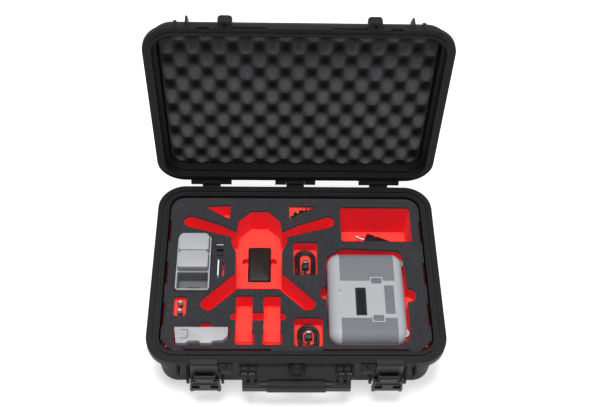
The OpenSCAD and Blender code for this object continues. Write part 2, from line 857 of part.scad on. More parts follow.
module spare_outline(g) {
    half = spare_l / 2;
    translate([spare_x, spare_y]) polygon([
        [-half - g, spare_back + g], [-half + 4 - g, -14 - g],
        [-half + 18 + g, -14 - g], [-half + 24, -10 - g],
        [-2, -10 - g], [0, -14 - g], [16, -14 - g], [19, -10 - g], [half - 8, -9 - g], [half + g, -2 - g],
        [half + g, spare_back + g]
    ]);
}

module remote_outline() {
    translate([remote_x, remote_y]) {
        polygon([
            [-remote_w / 2 - 2, -remote_l / 2 + 12], [-remote_w / 2 + 12, -remote_l / 2 - 2],
            [remote_w / 2 - 10, -remote_l / 2 - 2], [remote_w / 2 + 6, -remote_l / 2 + 14],
            [remote_w / 2 + 7, 27], [remote_w / 2 + 6, 66], [remote_w / 2 + 1, 89], [remote_w / 2 - 7, 95],
            [-34.5, 99], [-remote_w / 2 + 1, 82], [-remote_w / 2 - 2, 68]
        ]);
        translate([-remote_w / 2 - 1, 12]) circle(r = 12);
        translate([remote_w / 2 + 8, 9]) circle(r = 13);
    }
}

module all_pockets() {
    dug(flyer_floor) flyer_outline();
    charging_block_place() {
        dug(flyer_floor + block_h - 3 + seat_gap) rounded_rect(block_w + kit_gap, block_l + kit_gap, 3);
        dug(flyer_floor + 14) for (s = [-1, 1]) translate([s * (block_w / 2 + 4), 5]) circle(r = 7);
    }
    dug(39) battery_pair_outline();
    dug(43) battery_pair_foot();
    dug(charger_floor) translate([137, 94.5]) rounded_rect(120, 71, 5);
    dug(cable_floor) {
        translate(short_place) rounded_rect(short_pocket[0], short_pocket[1], 5);
        translate(long_place) rounded_rect(long_pocket[0], long_pocket[1], 5);
    }
    translate([flyer_x, 0, 0]) dug(35) translate([0.5, 0]) corner_pocket();
    translate([flyer_x, 0, 0]) mirror([1, 0, 0]) dug(prop_floor) corner_pocket();
    dug(stick_floor) translate([-186, -67.5]) rounded_rect(20, 35, 4);
    dug(spare_h + seat_gap) {
        spare_outline(spare_gap);
        for (y = [spare_back + spare_y + 1, spare_y - 10]) translate([spare_x + 7, y]) circle(r = 11);
    }
    translate([hub_x, hub_y, 0]) dug(hub_h + seat_gap)
        square([hub_w + 2 * kit_gap, hub_l + 2 * kit_gap], center = true);
    dug(card_floor) for (y = card_slits) translate([card_x, y]) square([12.4, 1.6], center = true);
    dug(card_floor + 5) translate(storage_place) square([3, 31], center = true);
    dug(card_floor + 5) translate([-119.5, 1]) square([3, 24], center = true);
    dug(remote_h - remote_up + seat_gap) remote_outline();
}

module foam_outline() {
    rounded_rect(foam_w, foam_d, foam_r);
}

module foam_floor() {
    color("#c8201d") pillow(foam_w, foam_d, foam_r, wall, pad_top, low_r = cavity_low_r);
}

// Slanting cut over each front corner of the foam
module front_corners(size) {
    for (s = [-1, 1]) translate([s * foam_w / 2, -foam_d / 2]) rotate(45) square(size, center = true);
}

// The thick red foam is laid up from three sheets, split at the floors of the pockets
module foam_sheet(low, high) {
    color("#d8211e") difference() {
        translate([0, 0, low]) linear_extrude(high - low) difference() {
            foam_outline();
            front_corners(corner_cut);
        }
        all_pockets();
    }
}

module foam_lower() { foam_sheet(pad_top, rim_z - flyer_floor); }
module foam_middle() { foam_sheet(rim_z - flyer_floor, rim_z - cable_floor); }
module foam_block() { foam_sheet(rim_z - cable_floor, block_top); }

module foam_cover() {
    relief = 4;
    side_relief = 3.5;
    side_relief_l = 42;
    side_relief_places = [78.5, -4.5, -82];
    color("#38393c") difference() {
        translate([0, 0, block_top]) linear_extrude(cover_t) difference() {
            foam_outline();
            front_corners(cover_corner_cut);
            // Reliefs along the front edge and down both sides
            for (s = [-1, 1]) {
                translate([s * 108, -foam_d / 2]) square([136, 2 * relief], center = true);
                for (y = side_relief_places) translate([s * foam_w / 2, y])
                    square([2 * side_relief, side_relief_l], center = true);
            }
        }
        all_pockets();
    }
}

// Kit in the flyer pocket's floor
module charging_block() {
    color("#141517") charging_block_place()
        translate([0, 0, rim_z - flyer_floor - block_h + 3]) linear_extrude(block_h)
            rounded_rect(block_w, block_l, 3);
}

// Remote control, lying on its face
module grip_zone(s, g) {
    length = (s > 0 ? grip_back_l : grip_front_l) + g;
    difference() {
        translate([remote_x + grip_x - grip_w / 2 - g, remote_y + (s > 0 ? remote_l / 2 - length : -remote_l / 2 - 10),
            remote_top - grip_h - g])
            cube([grip_w + 2 * g, length + 10, remote_h]);
        // The light frame round the button belongs to the shell
        button_zone(s > 0 ? 0 : 1, button_frame - g, remote_h, 2 * remote_h);
    }
}

module top_zone(place, size, deep, tall) {
    translate([remote_x + place[0], remote_y + place[1], remote_top - deep])
        linear_extrude(tall) rounded_rect(size[0], size[1], 2);
}

module button_zone(i, g, deep, tall) {
    top_zone([button_x, button_places[i]], [button_l + 2 * g, button_w + 2 * g], deep, tall);
}

module dial_zone(i, g) {
    translate([remote_x + dial_x, remote_y + dial_places[i], dial_z - g])
        cylinder(r = dial_r + g, h = dial_h + 2 * g);
}

module dial_post(i, g) {
    translate([remote_x + dial_x, remote_y + dial_places[i], dial_z - 5])
        cylinder(r = dial_post_r + g, h = dial_h + 10);
}

module remote_rear_form() {
    translate([remote_x, remote_y, 0])
        pillow(remote_w, remote_l, remote_r, remote_part, remote_top, high_r = remote_high_r);
}

module remote_rear_shell() {
    color("#c6c8ca") difference() {
        remote_rear_form();
        for (s = [-1, 1]) grip_zone(s, fit_gap);
        top_zone(vent_place, vent_size + 2 * fit_gap * [1, 1], vent_deep, vent_deep + 1);
        top_zone(plate_place, plate_size + 2 * fit_gap * [1, 1], plate_t, plate_t + 1);
        for (i = [0, 1]) {
            button_zone(i, seat_gap, button_deep + button_travel + seat_gap, 20);
            difference() {
                dial_zone(i, seat_gap);
                dial_post(i, 0);
            }
        }
        for (p = screw_places) translate([remote_x + p[0], remote_y + p[1], remote_top]) {
            translate([0, 0, -8]) cylinder(r = screw_r + pin_clear, h = 9);
            translate([0, 0, -3]) cylinder(r = screw_head_r + fit_gap, h = 4);
        }
    }
}

module remote_front_shell() {
    color("#bfc1c4") difference() {
        translate([remote_x, remote_y, 0])
            pillow(remote_w, remote_l, remote_r, remote_bottom, remote_part, low_r = remote_low_r);
        translate([remote_x, remote_y, remote_bottom - 1]) linear_extrude(screen_t + 1.2)
            rounded_rect(screen_size[0] + 2 * fit_gap, screen_size[1] + 2 * fit_gap, 4);
    }
}

module remote_screen() {
    color("#0c0d10") translate([remote_x, remote_y, remote_bottom + 0.2])
        linear_extrude(screen_t) rounded_rect(screen_size[0], screen_size[1], 4);
}

module remote_grip(s) {
    color("#8d9093") intersection() {
        remote_rear_form();
        grip_zone(s, 0);
    }
}

module remote_grip_back() { remote_grip(1); }
module remote_grip_front() { remote_grip(-1); }

module remote_vent() {
    color("#131416") difference() {
        top_zone(vent_place, vent_size, vent_deep, vent_deep - 0.4);
        for (i = [-4:4]) top_zone(vent_place + [0, i * 5.2], [13, 2.2 + 2], vent_deep - 1.5, vent_deep);
    }
}

module remote_plate() {
    color("#9c9fa2") top_zone(plate_place, plate_size, plate_t, plate_t - 0.2);
}

module remote_screws() {
    color("#55585c") for (p = screw_places) translate([remote_x + p[0], remote_y + p[1], remote_top]) {
        translate([0, 0, -8]) cylinder(r = screw_r, h = 6);
        translate([0, 0, -3]) cylinder(r = screw_head_r, h = 2.2);
    }
}

module remote_button(i) {
    color("#a9acaf") button_zone(i, 0, button_deep, button_deep + button_up);
}

module remote_button_back() { remote_button(0); }
module remote_button_front() { remote_button(1); }

module remote_dial(i) {
    color("#3c3e42") difference() {
        dial_zone(i, 0);
        dial_post(i, pin_clear);
    }
}

module remote_dial_back() { remote_dial(0); }
module remote_dial_front() { remote_dial(1); }

// Charging hub with three bays, the front one empty
module hub_bay(i, grow, z) {
    translate([hub_x, hub_y + (i - 1) * bay_step, z])
        linear_extrude(hub_h + 60) rounded_rect(bay_w + 2 * grow, bay_d + 2 * grow, 2);
}

module hub_shell() {
    color("#b9bbbd") difference() {
        translate([hub_x, hub_y, hub_bottom]) linear_extrude(hub_h) rounded_rect(hub_w, hub_l, 5);
        for (i = [0:2]) {
            hub_bay(i, 0, hub_bottom + hub_floor);
            translate([hub_x, hub_y + (i - 1) * bay_step, hub_bottom + hub_floor])
                cube([20, 6, 2], center = true);
        }
    }
}

module hub_liner() {
    color("#4a4c50") for (i = [0:2]) difference() {
        intersection() {
            hub_bay(i, -pin_clear, hub_bottom + hub_floor);
            translate([hub_x - hub_w, hub_y - hub_l, 0]) cube([2 * hub_w, 2 * hub_l, rim_z - 1.5]);
        }
        hub_bay(i, -liner_wall - pin_clear, hub_bottom);
    }
}

module hub_contacts() {
    color("#c9a24a") for (i = [0:2]) translate([hub_x, hub_y + (i - 1) * bay_step, hub_bottom + hub_floor - 0.5])
        cube([19.8, 5.8, 1], center = true);
}

module hub_battery(i) {
    low = hub_bottom + hub_floor + seat_gap;
    tall = rim_z + battery_up - low;
    cut = 5;
    foot = 1.5;
    color("#c4c6c8") translate([hub_x, hub_y + (i - 1) * bay_step, low]) difference() {
        linear_extrude(tall) polygon([
            [-battery_w / 2, foot - battery_d / 2], [foot - battery_w / 2, -battery_d / 2],
            [battery_w / 2 - foot, -battery_d / 2], [battery_w / 2, foot - battery_d / 2],
            [battery_w / 2, battery_d / 2 - cut],
            [battery_w / 2 - cut, battery_d / 2], [-battery_w / 2 + cut, battery_d / 2],
            [-battery_w / 2, battery_d / 2 - cut]
        ]);
        // Grip grooves along both ends of the head
        for (s = [-1, 1]) translate([s * battery_w / 2, 0, tall - 7])
            cube([2, battery_d - 10, 1.2], center = true);
    }
}

module hub_battery_middle() { hub_battery(1); }
module hub_battery_back() { hub_battery(2); }

// Spare battery on its side
module spare_battery() {
    color("#c4c6c8") difference() {
        translate([0, 0, rim_z - spare_h]) linear_extrude(spare_h) spare_outline(0);
        clip_track(0.1, 2);
    }
}

module clip_track(g, deep) {
    translate([spare_x - spare_l / 2 + 14, spare_y + 2, rim_z - deep]) linear_extrude(deep + 1) difference() {
        rounded_rect(16 + 2 * g, 16 + 2 * g, 3);
        rounded_rect(13 - 2 * g, 13 - 2 * g, 2);
        translate([-12, 0]) square([16, 30], center = true);
    }
}

module spare_battery_clip() {
    color("#3a3c40") difference() {
        clip_track(0, 1.9);
        translate([-case_w, -case_d, rim_z]) cube([2 * case_w, 2 * case_d, 10]);
    }
}

// Wall charger on its side in the deep pocket
module charger_place() {
    translate([charger_x, charger_y, rim_z - charger_floor]) rotate(charger_turn) children();
}

module charger_body() {
    color("#17181a") charger_place() translate([charger_head_l + charger_l / 2 - charger_head_l / 2, 0, 0])
        linear_extrude(charger_h) rounded_rect(charger_l - charger_head_l, charger_w, 3);
}

module charger_head() {
    color("#1d1e20") charger_place() difference() {
        translate([charger_head_l / 2, 0, 0]) linear_extrude(charger_h - 2)
            rounded_rect(charger_head_l, charger_w, 3);
        for (s = [-1, 1]) translate([-1, s * prong_step / 2, charger_h / 2])
            rotate([0, 90, 0]) cylinder(r = 2.05, h = 7);
    }
}

module charger_prongs() {
    color("#c8cacd") charger_place() for (s = [-1, 1]) translate([-18, s * prong_step / 2, charger_h / 2])
        rotate([0, 90, 0]) cylinder(r = 2, h = 23.8);
}

// Wound cables: turns spiral out on the pocket floor, climb, and spiral in again on top.
// Both ends turn back into the middle, where the plugs lie one on the other.
function run_point(u, r, run) =
    let (a = (u - floor(u)) * 360, side = a < 180 ? 1 : -1, part = (a % 180) / 180)
    part < 0.5 ? [side * r, side * run * (4 * part - 1)]
               : let (t = (part - 0.5) * 360) [side * r * cos(t), side * (run + r * sin(t))];
function cable_r(u) =
    let (n = cable_turns)
    u <= n ? cable_inner + cable_step * u
           : u <= n + 0.5 ? cable_inner + cable_step * n
                          : cable_inner + cable_step * (2 * n + 0.5 - u);
function cable_rise(u) =
    let (n = cable_turns)
    u <= n ? 0 : u >= n + 0.5 ? cable_step : cable_step * (u - n) * 2;
// Half turn from a plug (t = 0) into the innermost turn (t = 1)
function lead_point(side, t, run) =
    [side * (lead_mid + lead_bend * cos(180 + 180 * t)), -run + lead_bend * sin(180 + 180 * t)];
function lead_end(side, run) = [side * (lead_mid - lead_bend), plug_y - run + plug_socket];
function cable_route(run) =
    let (all = 2 * cable_turns + 0.5, steps = round(all * cable_rings))
    let (low = cable_low + cable_d / 2, high = low + cable_step)
    let (first = cable_low + plug_h / 2, second = first + plug_h + plug_gap)
    concat(
        [concat(lead_end(1, run), first)],
        [for (k = [0:lead_rings - 1]) let (t = k / lead_rings)
            concat(lead_point(1, t, run), first + (low - first) * t)],
        [for (k = [0:steps]) let (u = k * all / steps) concat(run_point(u, cable_r(u), run), low + cable_rise(u))],
        [concat(-cable_inner, 0, (high + second) / 2)],
        [for (k = [lead_rings:-1:0]) concat(lead_point(-1, k / lead_rings, run), second)],
        [concat(lead_end(-1, run), second)]
    );
function route_dir(p, k) =
    let (d = p[min(k + 1, len(p) - 1)] - p[max(k - 1, 0)]) d / norm(d);
function ring(p, k) =
    let (t = route_dir(p, k), s = cross(t, [0, 0, 1]) / norm(cross(t, [0, 0, 1])), v = cross(s, t))
    [for (a = [0:60:300]) p[k] + cable_d / 2 * (cos(a) * s + sin(a) * v)];

// Least clear gap between stretches of a route that aren't neighbours
function least_gap(p) = min([for (i = [0:len(p) - 1], j = [i + 6:len(p) - 1]) norm(p[i] - p[j])]) - cable_d;

module cable_tube(p) {
    n = len(p);
    points = [for (k = [0:n - 1]) each ring(p, k)];
    sides = [for (k = [0:n - 2], i = [0:5], h = [0, 1])
        let (a = 6 * k + i, b = 6 * k + (i + 1) % 6)
        h == 0 ? [a, b, b + 6] : [a, b + 6, a + 6]];
    ends = [for (i = [1:4]) each [[0, i + 1, i], [6 * (n - 1), 6 * (n - 1) + i, 6 * (n - 1) + i + 1]]];
    polyhedron(points = points, faces = concat(sides, ends), convexity = 8);
}

module wound_cable(place, run) {
    route = cable_route(run);
    echo(least_cable_gap = least_gap(route));
    color("#141416") translate(concat(place, 0)) cable_tube(route);
}

module cable_plugs(place, run) {
    color("#1b1c1e") translate(concat(place, cable_low + plug_h / 2)) for (i = [0, 1])
        translate([(i == 0 ? 1 : -1) * (lead_mid - lead_bend), plug_y - run, i * (plug_h + plug_gap)]) difference() {
            union() {
                translate([0, plug_l / 2, 0]) cube([plug_w, plug_l, plug_h], center = true);
                translate([0, plug_l + plug_tip_l / 2 - 1, 0])
                    cube([plug_w - 2, plug_tip_l + 2, plug_tip_h], center = true);
            }
            rotate([-90, 0, 0])
                cylinder(r = cable_d / 2 + pin_clear, h = 2 * (plug_socket + fit_gap), center = true);
        }
}

module cable_short() { wound_cable(short_place, short_run); }
module cable_short_plugs() { cable_plugs(short_place, short_run); }
module cable_long() { wound_cable(long_place, long_run); }
module cable_long_plugs() { cable_plugs(long_place, long_run); }

// Spare propellers, stacked in the corner pocket
module spare_props() {
    color("#1a1b1d") for (i = [0:prop_count - 1])
        translate([flyer_x + 53.7, 109.5 + 0.7 * (i % 2), rim_z - prop_floor + i * (prop_t + fit_gap)])
            rotate(30 - 1.5 * i) linear_extrude(prop_t) {
                taper_slot([2, 0], 2, [12, 2], 4);
                taper_slot([12, 2], 4, [30, 2], 2.4);
            }
}

// Control sticks, standing in their pocket
module control_sticks() {
    r = stick_d / 2;
    color("#a4a6a8") for (p = stick_places) translate([p[0], p[1], rim_z - stick_floor])
        rotate_extrude() polygon([
            [0, 0], [2.2, 0], [2.2, 5], [r - 1, 6.5], [r, 7.5],
            [r, 10.5], [r - 0.8, 11.5], [r - 2, 11.2], [0, 10.8]
        ]);
}

module memory_cards() {
    color("#e4e6ea") for (i = [0, 1]) translate([card_x, card_slits[i], rim_z - card_floor + 8.5])
        cube([11, 1, 17], center = true);
}

module storage_card() {
    color("#eceef0") translate([storage_place[0], storage_place[1], rim_z - card_floor - 5 + 11])
        cube([2.2, 30, 22], center = true);
}

base_shell();
base_lugs();
rim_seal();
hinge_pins();
latch_pins();
handle_pins();
valve_body();
valve_seal();
valve_cap();
lid_shell();
lid_lugs();
lid_foam();
latch_hook_left();
latch_lever_left();
lever_pin_left();
latch_hook_right();
latch_lever_right();
lever_pin_right();
handle_frame();
handle_grip();
foam_floor();
foam_lower();
foam_middle();
foam_block();
foam_cover();
charging_block();
remote_rear_shell();
remote_front_shell();
remote_screen();
remote_grip_back();
remote_grip_front();
remote_vent();
remote_plate();
remote_screws();
remote_button_back();
remote_button_front();
remote_dial_back();
remote_dial_front();
hub_shell();
hub_liner();
hub_contacts();
hub_battery_middle();
hub_battery_back();
spare_battery();
spare_battery_clip();
charger_body();
charger_head();
charger_prongs();
cable_short();
cable_short_plugs();
cable_long();
cable_long_plugs();
spare_props();
control_sticks();
memory_cards();
storage_card();
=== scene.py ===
import math

import bmesh
import bpy
from mathutils import Matrix, Vector, noise


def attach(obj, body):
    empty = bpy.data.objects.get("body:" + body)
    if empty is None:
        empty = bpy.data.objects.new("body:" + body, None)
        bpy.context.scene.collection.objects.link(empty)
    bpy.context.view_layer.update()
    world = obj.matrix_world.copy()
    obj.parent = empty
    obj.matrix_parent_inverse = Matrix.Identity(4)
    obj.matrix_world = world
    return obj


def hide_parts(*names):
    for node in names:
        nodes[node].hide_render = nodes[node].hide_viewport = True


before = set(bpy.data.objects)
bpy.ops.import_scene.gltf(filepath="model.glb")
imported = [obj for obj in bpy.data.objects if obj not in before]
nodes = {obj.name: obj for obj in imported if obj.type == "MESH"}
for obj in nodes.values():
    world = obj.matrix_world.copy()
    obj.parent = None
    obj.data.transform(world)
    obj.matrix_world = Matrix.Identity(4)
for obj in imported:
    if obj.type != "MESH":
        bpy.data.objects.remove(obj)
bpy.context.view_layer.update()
scene = bpy.context.scene
scene.view_settings.view_transform = "Standard"
mm = 0.001  # sizes below are in millimetres
rim = 105  # height of the base's rim above the floor
print("frame loaded,", len(nodes), "nodes")


# camera, as the photograph was taken

shot = {
    "place": (-36.16, -826.15, 1296.08 + rim), "down": 53.446, "turn": 2.633, "roll": 2.465,
    "lens": 56.08, "sensor": 36, "reach": 50,
}


def setCamera():
    down, turn, roll = (math.radians(shot[k]) for k in ("down", "turn", "roll"))
    ahead = Vector((math.sin(turn) * math.cos(down), math.cos(turn) * math.cos(down), -math.sin(down)))
    right = Vector((math.cos(turn), -math.sin(turn), 0))
    up = right.cross(ahead)
    across = right * math.cos(roll) + up * math.sin(roll)
    upward = up * math.cos(roll) - right * math.sin(roll)
    lensData = bpy.data.cameras.new("photoCamera")
    lensData.lens = shot["lens"]
    lensData.sensor_width = shot["sensor"]
    lensData.clip_end = shot["reach"]
    camera = bpy.data.objects.new("photoCamera", lensData)
    turned = Matrix((across, upward, -ahead)).transposed().to_4x4()
    camera.matrix_world = Matrix.Translation(Vector(shot["place"]) * mm) @ turned
    scene.collection.objects.link(camera)
    scene.camera = camera


setCamera()
print("camera set")


# one socket of a node tree, with sums written as Python writes them

class Wire:
    def __init__(self, tree, socket=None):
        self.tree = tree
        self.socket = socket

    def plug(self, socket, value):
        if isinstance(value, Wire):
            self.tree.links.new(value.socket, socket)
        else:
            socket.default_value = value

    def node(self, kind, settings=None, links=None, out=0):
        made = self.tree.nodes.new(kind)
        for key, value in (settings or {}).items():
            setattr(made, key, value)
        for key, value in (links or {}).items():
            self.plug(made.inputs[key], value)
        return Wire(self.tree, made.outputs[out]) if made.outputs else None

    def sum(self, operation, first, second):
        return self.node("ShaderNodeMath", {"operation": operation}, {0: first, 1: second})

    def __add__(self, other):
        return self.sum("ADD", self, other)

    def __radd__(self, other):
        return self.sum("ADD", other, self)

    def __sub__(self, other):
        return self.sum("SUBTRACT", self, other)

    def __rsub__(self, other):
        return self.sum("SUBTRACT", other, self)

    def __mul__(self, other):
        return self.sum("MULTIPLY", self, other)

    def __rmul__(self, other):
        return self.sum("MULTIPLY", other, self)

    def __truediv__(self, other):
        return self.sum("DIVIDE", self, other)

    def __rtruediv__(self, other):
        return self.sum("DIVIDE", other, self)

    def between(self, low, high):
        return self.node("ShaderNodeMapRange", {"clamp": True, "interpolation_type": "SMOOTHSTEP"},
                         {"Value": self, "From Min": low, "From Max": high})

    def blend(self, first, second):
        return self.node("ShaderNodeMix", {"data_type": "RGBA"}, {0: self, 6: first, 7: second}, 2)


def tint(text):
    def linear(v):
        return v / 12.92 if v <= 0.04045 else ((v + 0.055) / 1.055) ** 2.4
    return tuple(linear(int(text[i:i + 2], 16) / 255) for i in (0, 2, 4)) + (1.0,)


def blank(name):
    material = bpy.data.materials.new(name)
    material.use_nodes = True
    return material, material.node_tree.nodes["Principled BSDF"], Wire(material.node_tree)


def objectPlace(w):
    return w.node("ShaderNodeTexCoord", None, None, "Object")


def noiseAt(w, where, size, detail=2.0, rough=0.55):
    return w.node("ShaderNodeTexNoise", None,
                  {"Vector": where, "Scale": 1 / (size * mm), "Detail": detail, "Roughness": rough})


# moulded plastic and rubber: fine tool grain, faint flow marks, edges lighter as wear and as a painted highlight
def moulded(name, look):
    material, shader, w = blank(name)
    where = objectPlace(w)
    grain = noiseAt(w, where, look["grain"], 3.0, 0.65)
    flow = noiseAt(w, where, look.get("flow", 28), 3.0)
    rounded = w.node("ShaderNodeBevel", {"samples": 4}, {"Radius": look["edge"] * mm})
    plain = w.node("ShaderNodeNewGeometry", None, None, "Normal")
    along = w.node("ShaderNodeVectorMath", {"operation": "DOT_PRODUCT"}, {0: rounded, 1: plain}, "Value")
    # edges blend to a lighter tone: partly real wear, partly a painted highlight where edges catch the light
    wornAndLitEdge = (1 - along).between(0.02, 0.3) * (0.35 + flow * 0.9) * look.get("wornAndLitAmount", 0.4)
    mottle = look.get("mottle", 0.5)
    cloud = flow.between(0.3, 0.7) * mottle + grain * (1 - mottle)
    body = cloud.blend(tint(look["deep"]), tint(look["pale"]))
    if "bands" in look:
        body = look["bands"](w, where, body)
    w.plug(shader.inputs["Base Color"], wornAndLitEdge.blend(body, tint(look.get("wornAndLitTone", look["pale"]))))
    low, high = look["rough"]
    w.plug(shader.inputs["Roughness"], low + (high - low) * (grain * 0.5 + flow * 0.5))
    bump = w.node("ShaderNodeBump", None, {
        "Strength": look.get("bite", 0.3), "Distance": look["grain"] * 0.2 * mm,
        "Height": grain, "Normal": rounded})
    w.plug(shader.inputs["Normal"], bump)
    shader.inputs["Specular IOR Level"].default_value = look.get("shine", 0.4)
    shader.inputs["Coat Weight"].default_value = look.get("coat", 0.0)
    shader.inputs["Coat Roughness"].default_value = 0.15
    return material


# cut foam: cells opened by the knife, darker in each pit
def foamed(name, look):
    material, shader, w = blank(name)
    where = objectPlace(w)
    cells = w.node("ShaderNodeTexVoronoi", {"feature": "F1"},
                   {"Vector": where, "Scale": 1 / (look["cell"] * mm), "Randomness": 1.0}, "Distance")
    fine = noiseAt(w, where, look["cell"] * 1.7, 4.0, 0.7)
    cloud = noiseAt(w, where, look.get("cloud", 45), 3.0)
    pit = 1 - cells.between(0.1, 0.75)
    cut = (fine.between(0.3, 0.72) * 0.7 + cloud * 0.3).blend(tint(look["deep"]), tint(look["pale"]))
    body = (pit * look.get("pits", 0.5)).blend(cut, tint(look["pit"]))
    # painted shade: faces that stand upright get the darker side colour, as the light from above falls less on
    # them
    if "side" in look:  # upright cut faces are darker than the flat ones
        facing = w.node("ShaderNodeNewGeometry", None, None, "Normal")
        up = w.node("ShaderNodeSeparateXYZ", None, {"Vector": facing}, "Z").between(0.2, 0.8)
        body = up.blend(tint(look["side"]), body)
    # painted shade: the red foam darkens towards the case wall, which shades it
    if "paintedWallShade" in look:  # shaded next to the case wall
        x, y = (w.node("ShaderNodeSeparateXYZ", None, {"Vector": where}, k) for k in "XY")
        wide, deep, fade, shade = look["paintedWallShade"]
        far = w.sum("MAXIMUM", w.sum("ABSOLUTE", x, 0.0) - wide * mm, w.sum("ABSOLUTE", y, 0.0) - deep * mm)
        body = far.between(0, fade * mm).blend(body, tint(shade))
    # painted shade in the crate's pits: the hollow colour where the point's stored shade is high
    if "hollow" in look:  # the crate's own valleys, kept on its points
        paintedPitShade = w.node("ShaderNodeAttribute", {"attribute_name": "paintedPitShade"}, None, "Fac")
        body = paintedPitShade.between(*look["span"]).blend(body, tint(look["hollow"]))
    w.plug(shader.inputs["Base Color"], body)
    w.plug(shader.inputs["Roughness"], 0.86 + fine * 0.12)
    height = (1 - pit) * 0.7 + fine * 0.6
    bump = w.node("ShaderNodeBump", None,
                  {"Strength": look.get("bite", 0.5), "Distance": look["cell"] * 0.5 * mm, "Height": height})
    w.plug(shader.inputs["Normal"], bump)
    shader.inputs["Specular IOR Level"].default_value = 0.1
    shader.inputs["Sheen Weight"].default_value = look.get("fuzz", 0.1)
    shader.inputs["Sheen Roughness"].default_value = 0.6
    return material


# turned or drawn metal: fine lines round or along the piece
def turnedMetal(name, look):
    material, shader, w = blank(name)
    where = objectPlace(w)
    drawn = w.node("ShaderNodeMapping", None, {"Vector": where, "Scale": look["run"]})
    lines = noiseAt(w, drawn, 0.3, 3.0, 0.6)
    stain = noiseAt(w, where, 7, 2.0)
    rounded = w.node("ShaderNodeBevel", {"samples": 4}, {"Radius": 0.25 * mm})
    body = (lines.between(0.3, 0.7) * 0.6 + stain * 0.4).blend(tint(look["deep"]), tint(look["pale"]))
    w.plug(shader.inputs["Base Color"], body)
    low, high = look["rough"]
    w.plug(shader.inputs["Roughness"], low + (high - low) * lines)
    bump = w.node("ShaderNodeBump", None,
                  {"Strength": 0.25, "Distance": 0.05 * mm, "Height": lines, "Normal": rounded})
    w.plug(shader.inputs["Normal"], bump)
    shader.inputs["Metallic"].default_value = 1.0
    return material


bladePaint = {
    "root": (-7.8, 109.5, 0), "turn": 30, "bands": ((3, 6), (14, 17), (26, 30)), "edge": (0.5, 2),
    "paint": "e8801a",
}
cardInk = {"span": (rim + 0.5, rim + 0.9), "ink": "4d5a86"}
bayTone = {"span": (rim - 6, rim - 1), "shade": "67696d"}
paleShell = {
    "deep": "a2a3a7", "pale": "aaabaf", "wornAndLitTone": "c4c5c9", "rough": (0.4, 0.5), "grain": 0.25, "flow": 60,
    "edge": 0.6, "wornAndLitAmount": 0.6, "bite": 0.12, "shine": 0.35, "mottle": 0.15,
}


# painted bands across the top edge of the spare blades
def bladeBands(w, where, body):
    turned = w.node("ShaderNodeVectorRotate", {"rotation_type": "Z_AXIS"}, {
        "Vector": where, "Center": tuple(v * mm for v in bladePaint["root"]),
        "Angle": math.radians(-bladePaint["turn"])})
    x, y = (w.node("ShaderNodeSeparateXYZ", None, {"Vector": turned}, k) for k in "XY")
    along, across = (x - bladePaint["root"][0] * mm) / mm, (y - bladePaint["root"][1] * mm) / mm
    painted = 0
    for low, high in bladePaint["bands"]:
        painted += w.node("ShaderNodeMath", {"operation": "COMPARE"},
                          {0: along, 1: (low + high) / 2, 2: (high - low) / 2})
    shown = w.sum("MINIMUM", painted, 1.0) * across.between(*bladePaint["edge"])
    return shown.blend(body, tint(bladePaint["paint"]))


# the front card is printed pale over a darker lower half
def cardPrint(w, where, body):
    low, high = cardInk["span"]
    height = w.node("ShaderNodeSeparateXYZ", None, {"Vector": where}, "Z")
    return height.between(low * mm, high * mm).blend(tint(cardInk["ink"]), body)


# painted shade: the hub is darker just below the mouths of its bays
def bayShade(w, where, body):
    low, high = bayTone["span"]
    height = w.node("ShaderNodeSeparateXYZ", None, {"Vector": where}, "Z")
    return height.between(low * mm, high * mm).blend(tint(bayTone["shade"]), body)


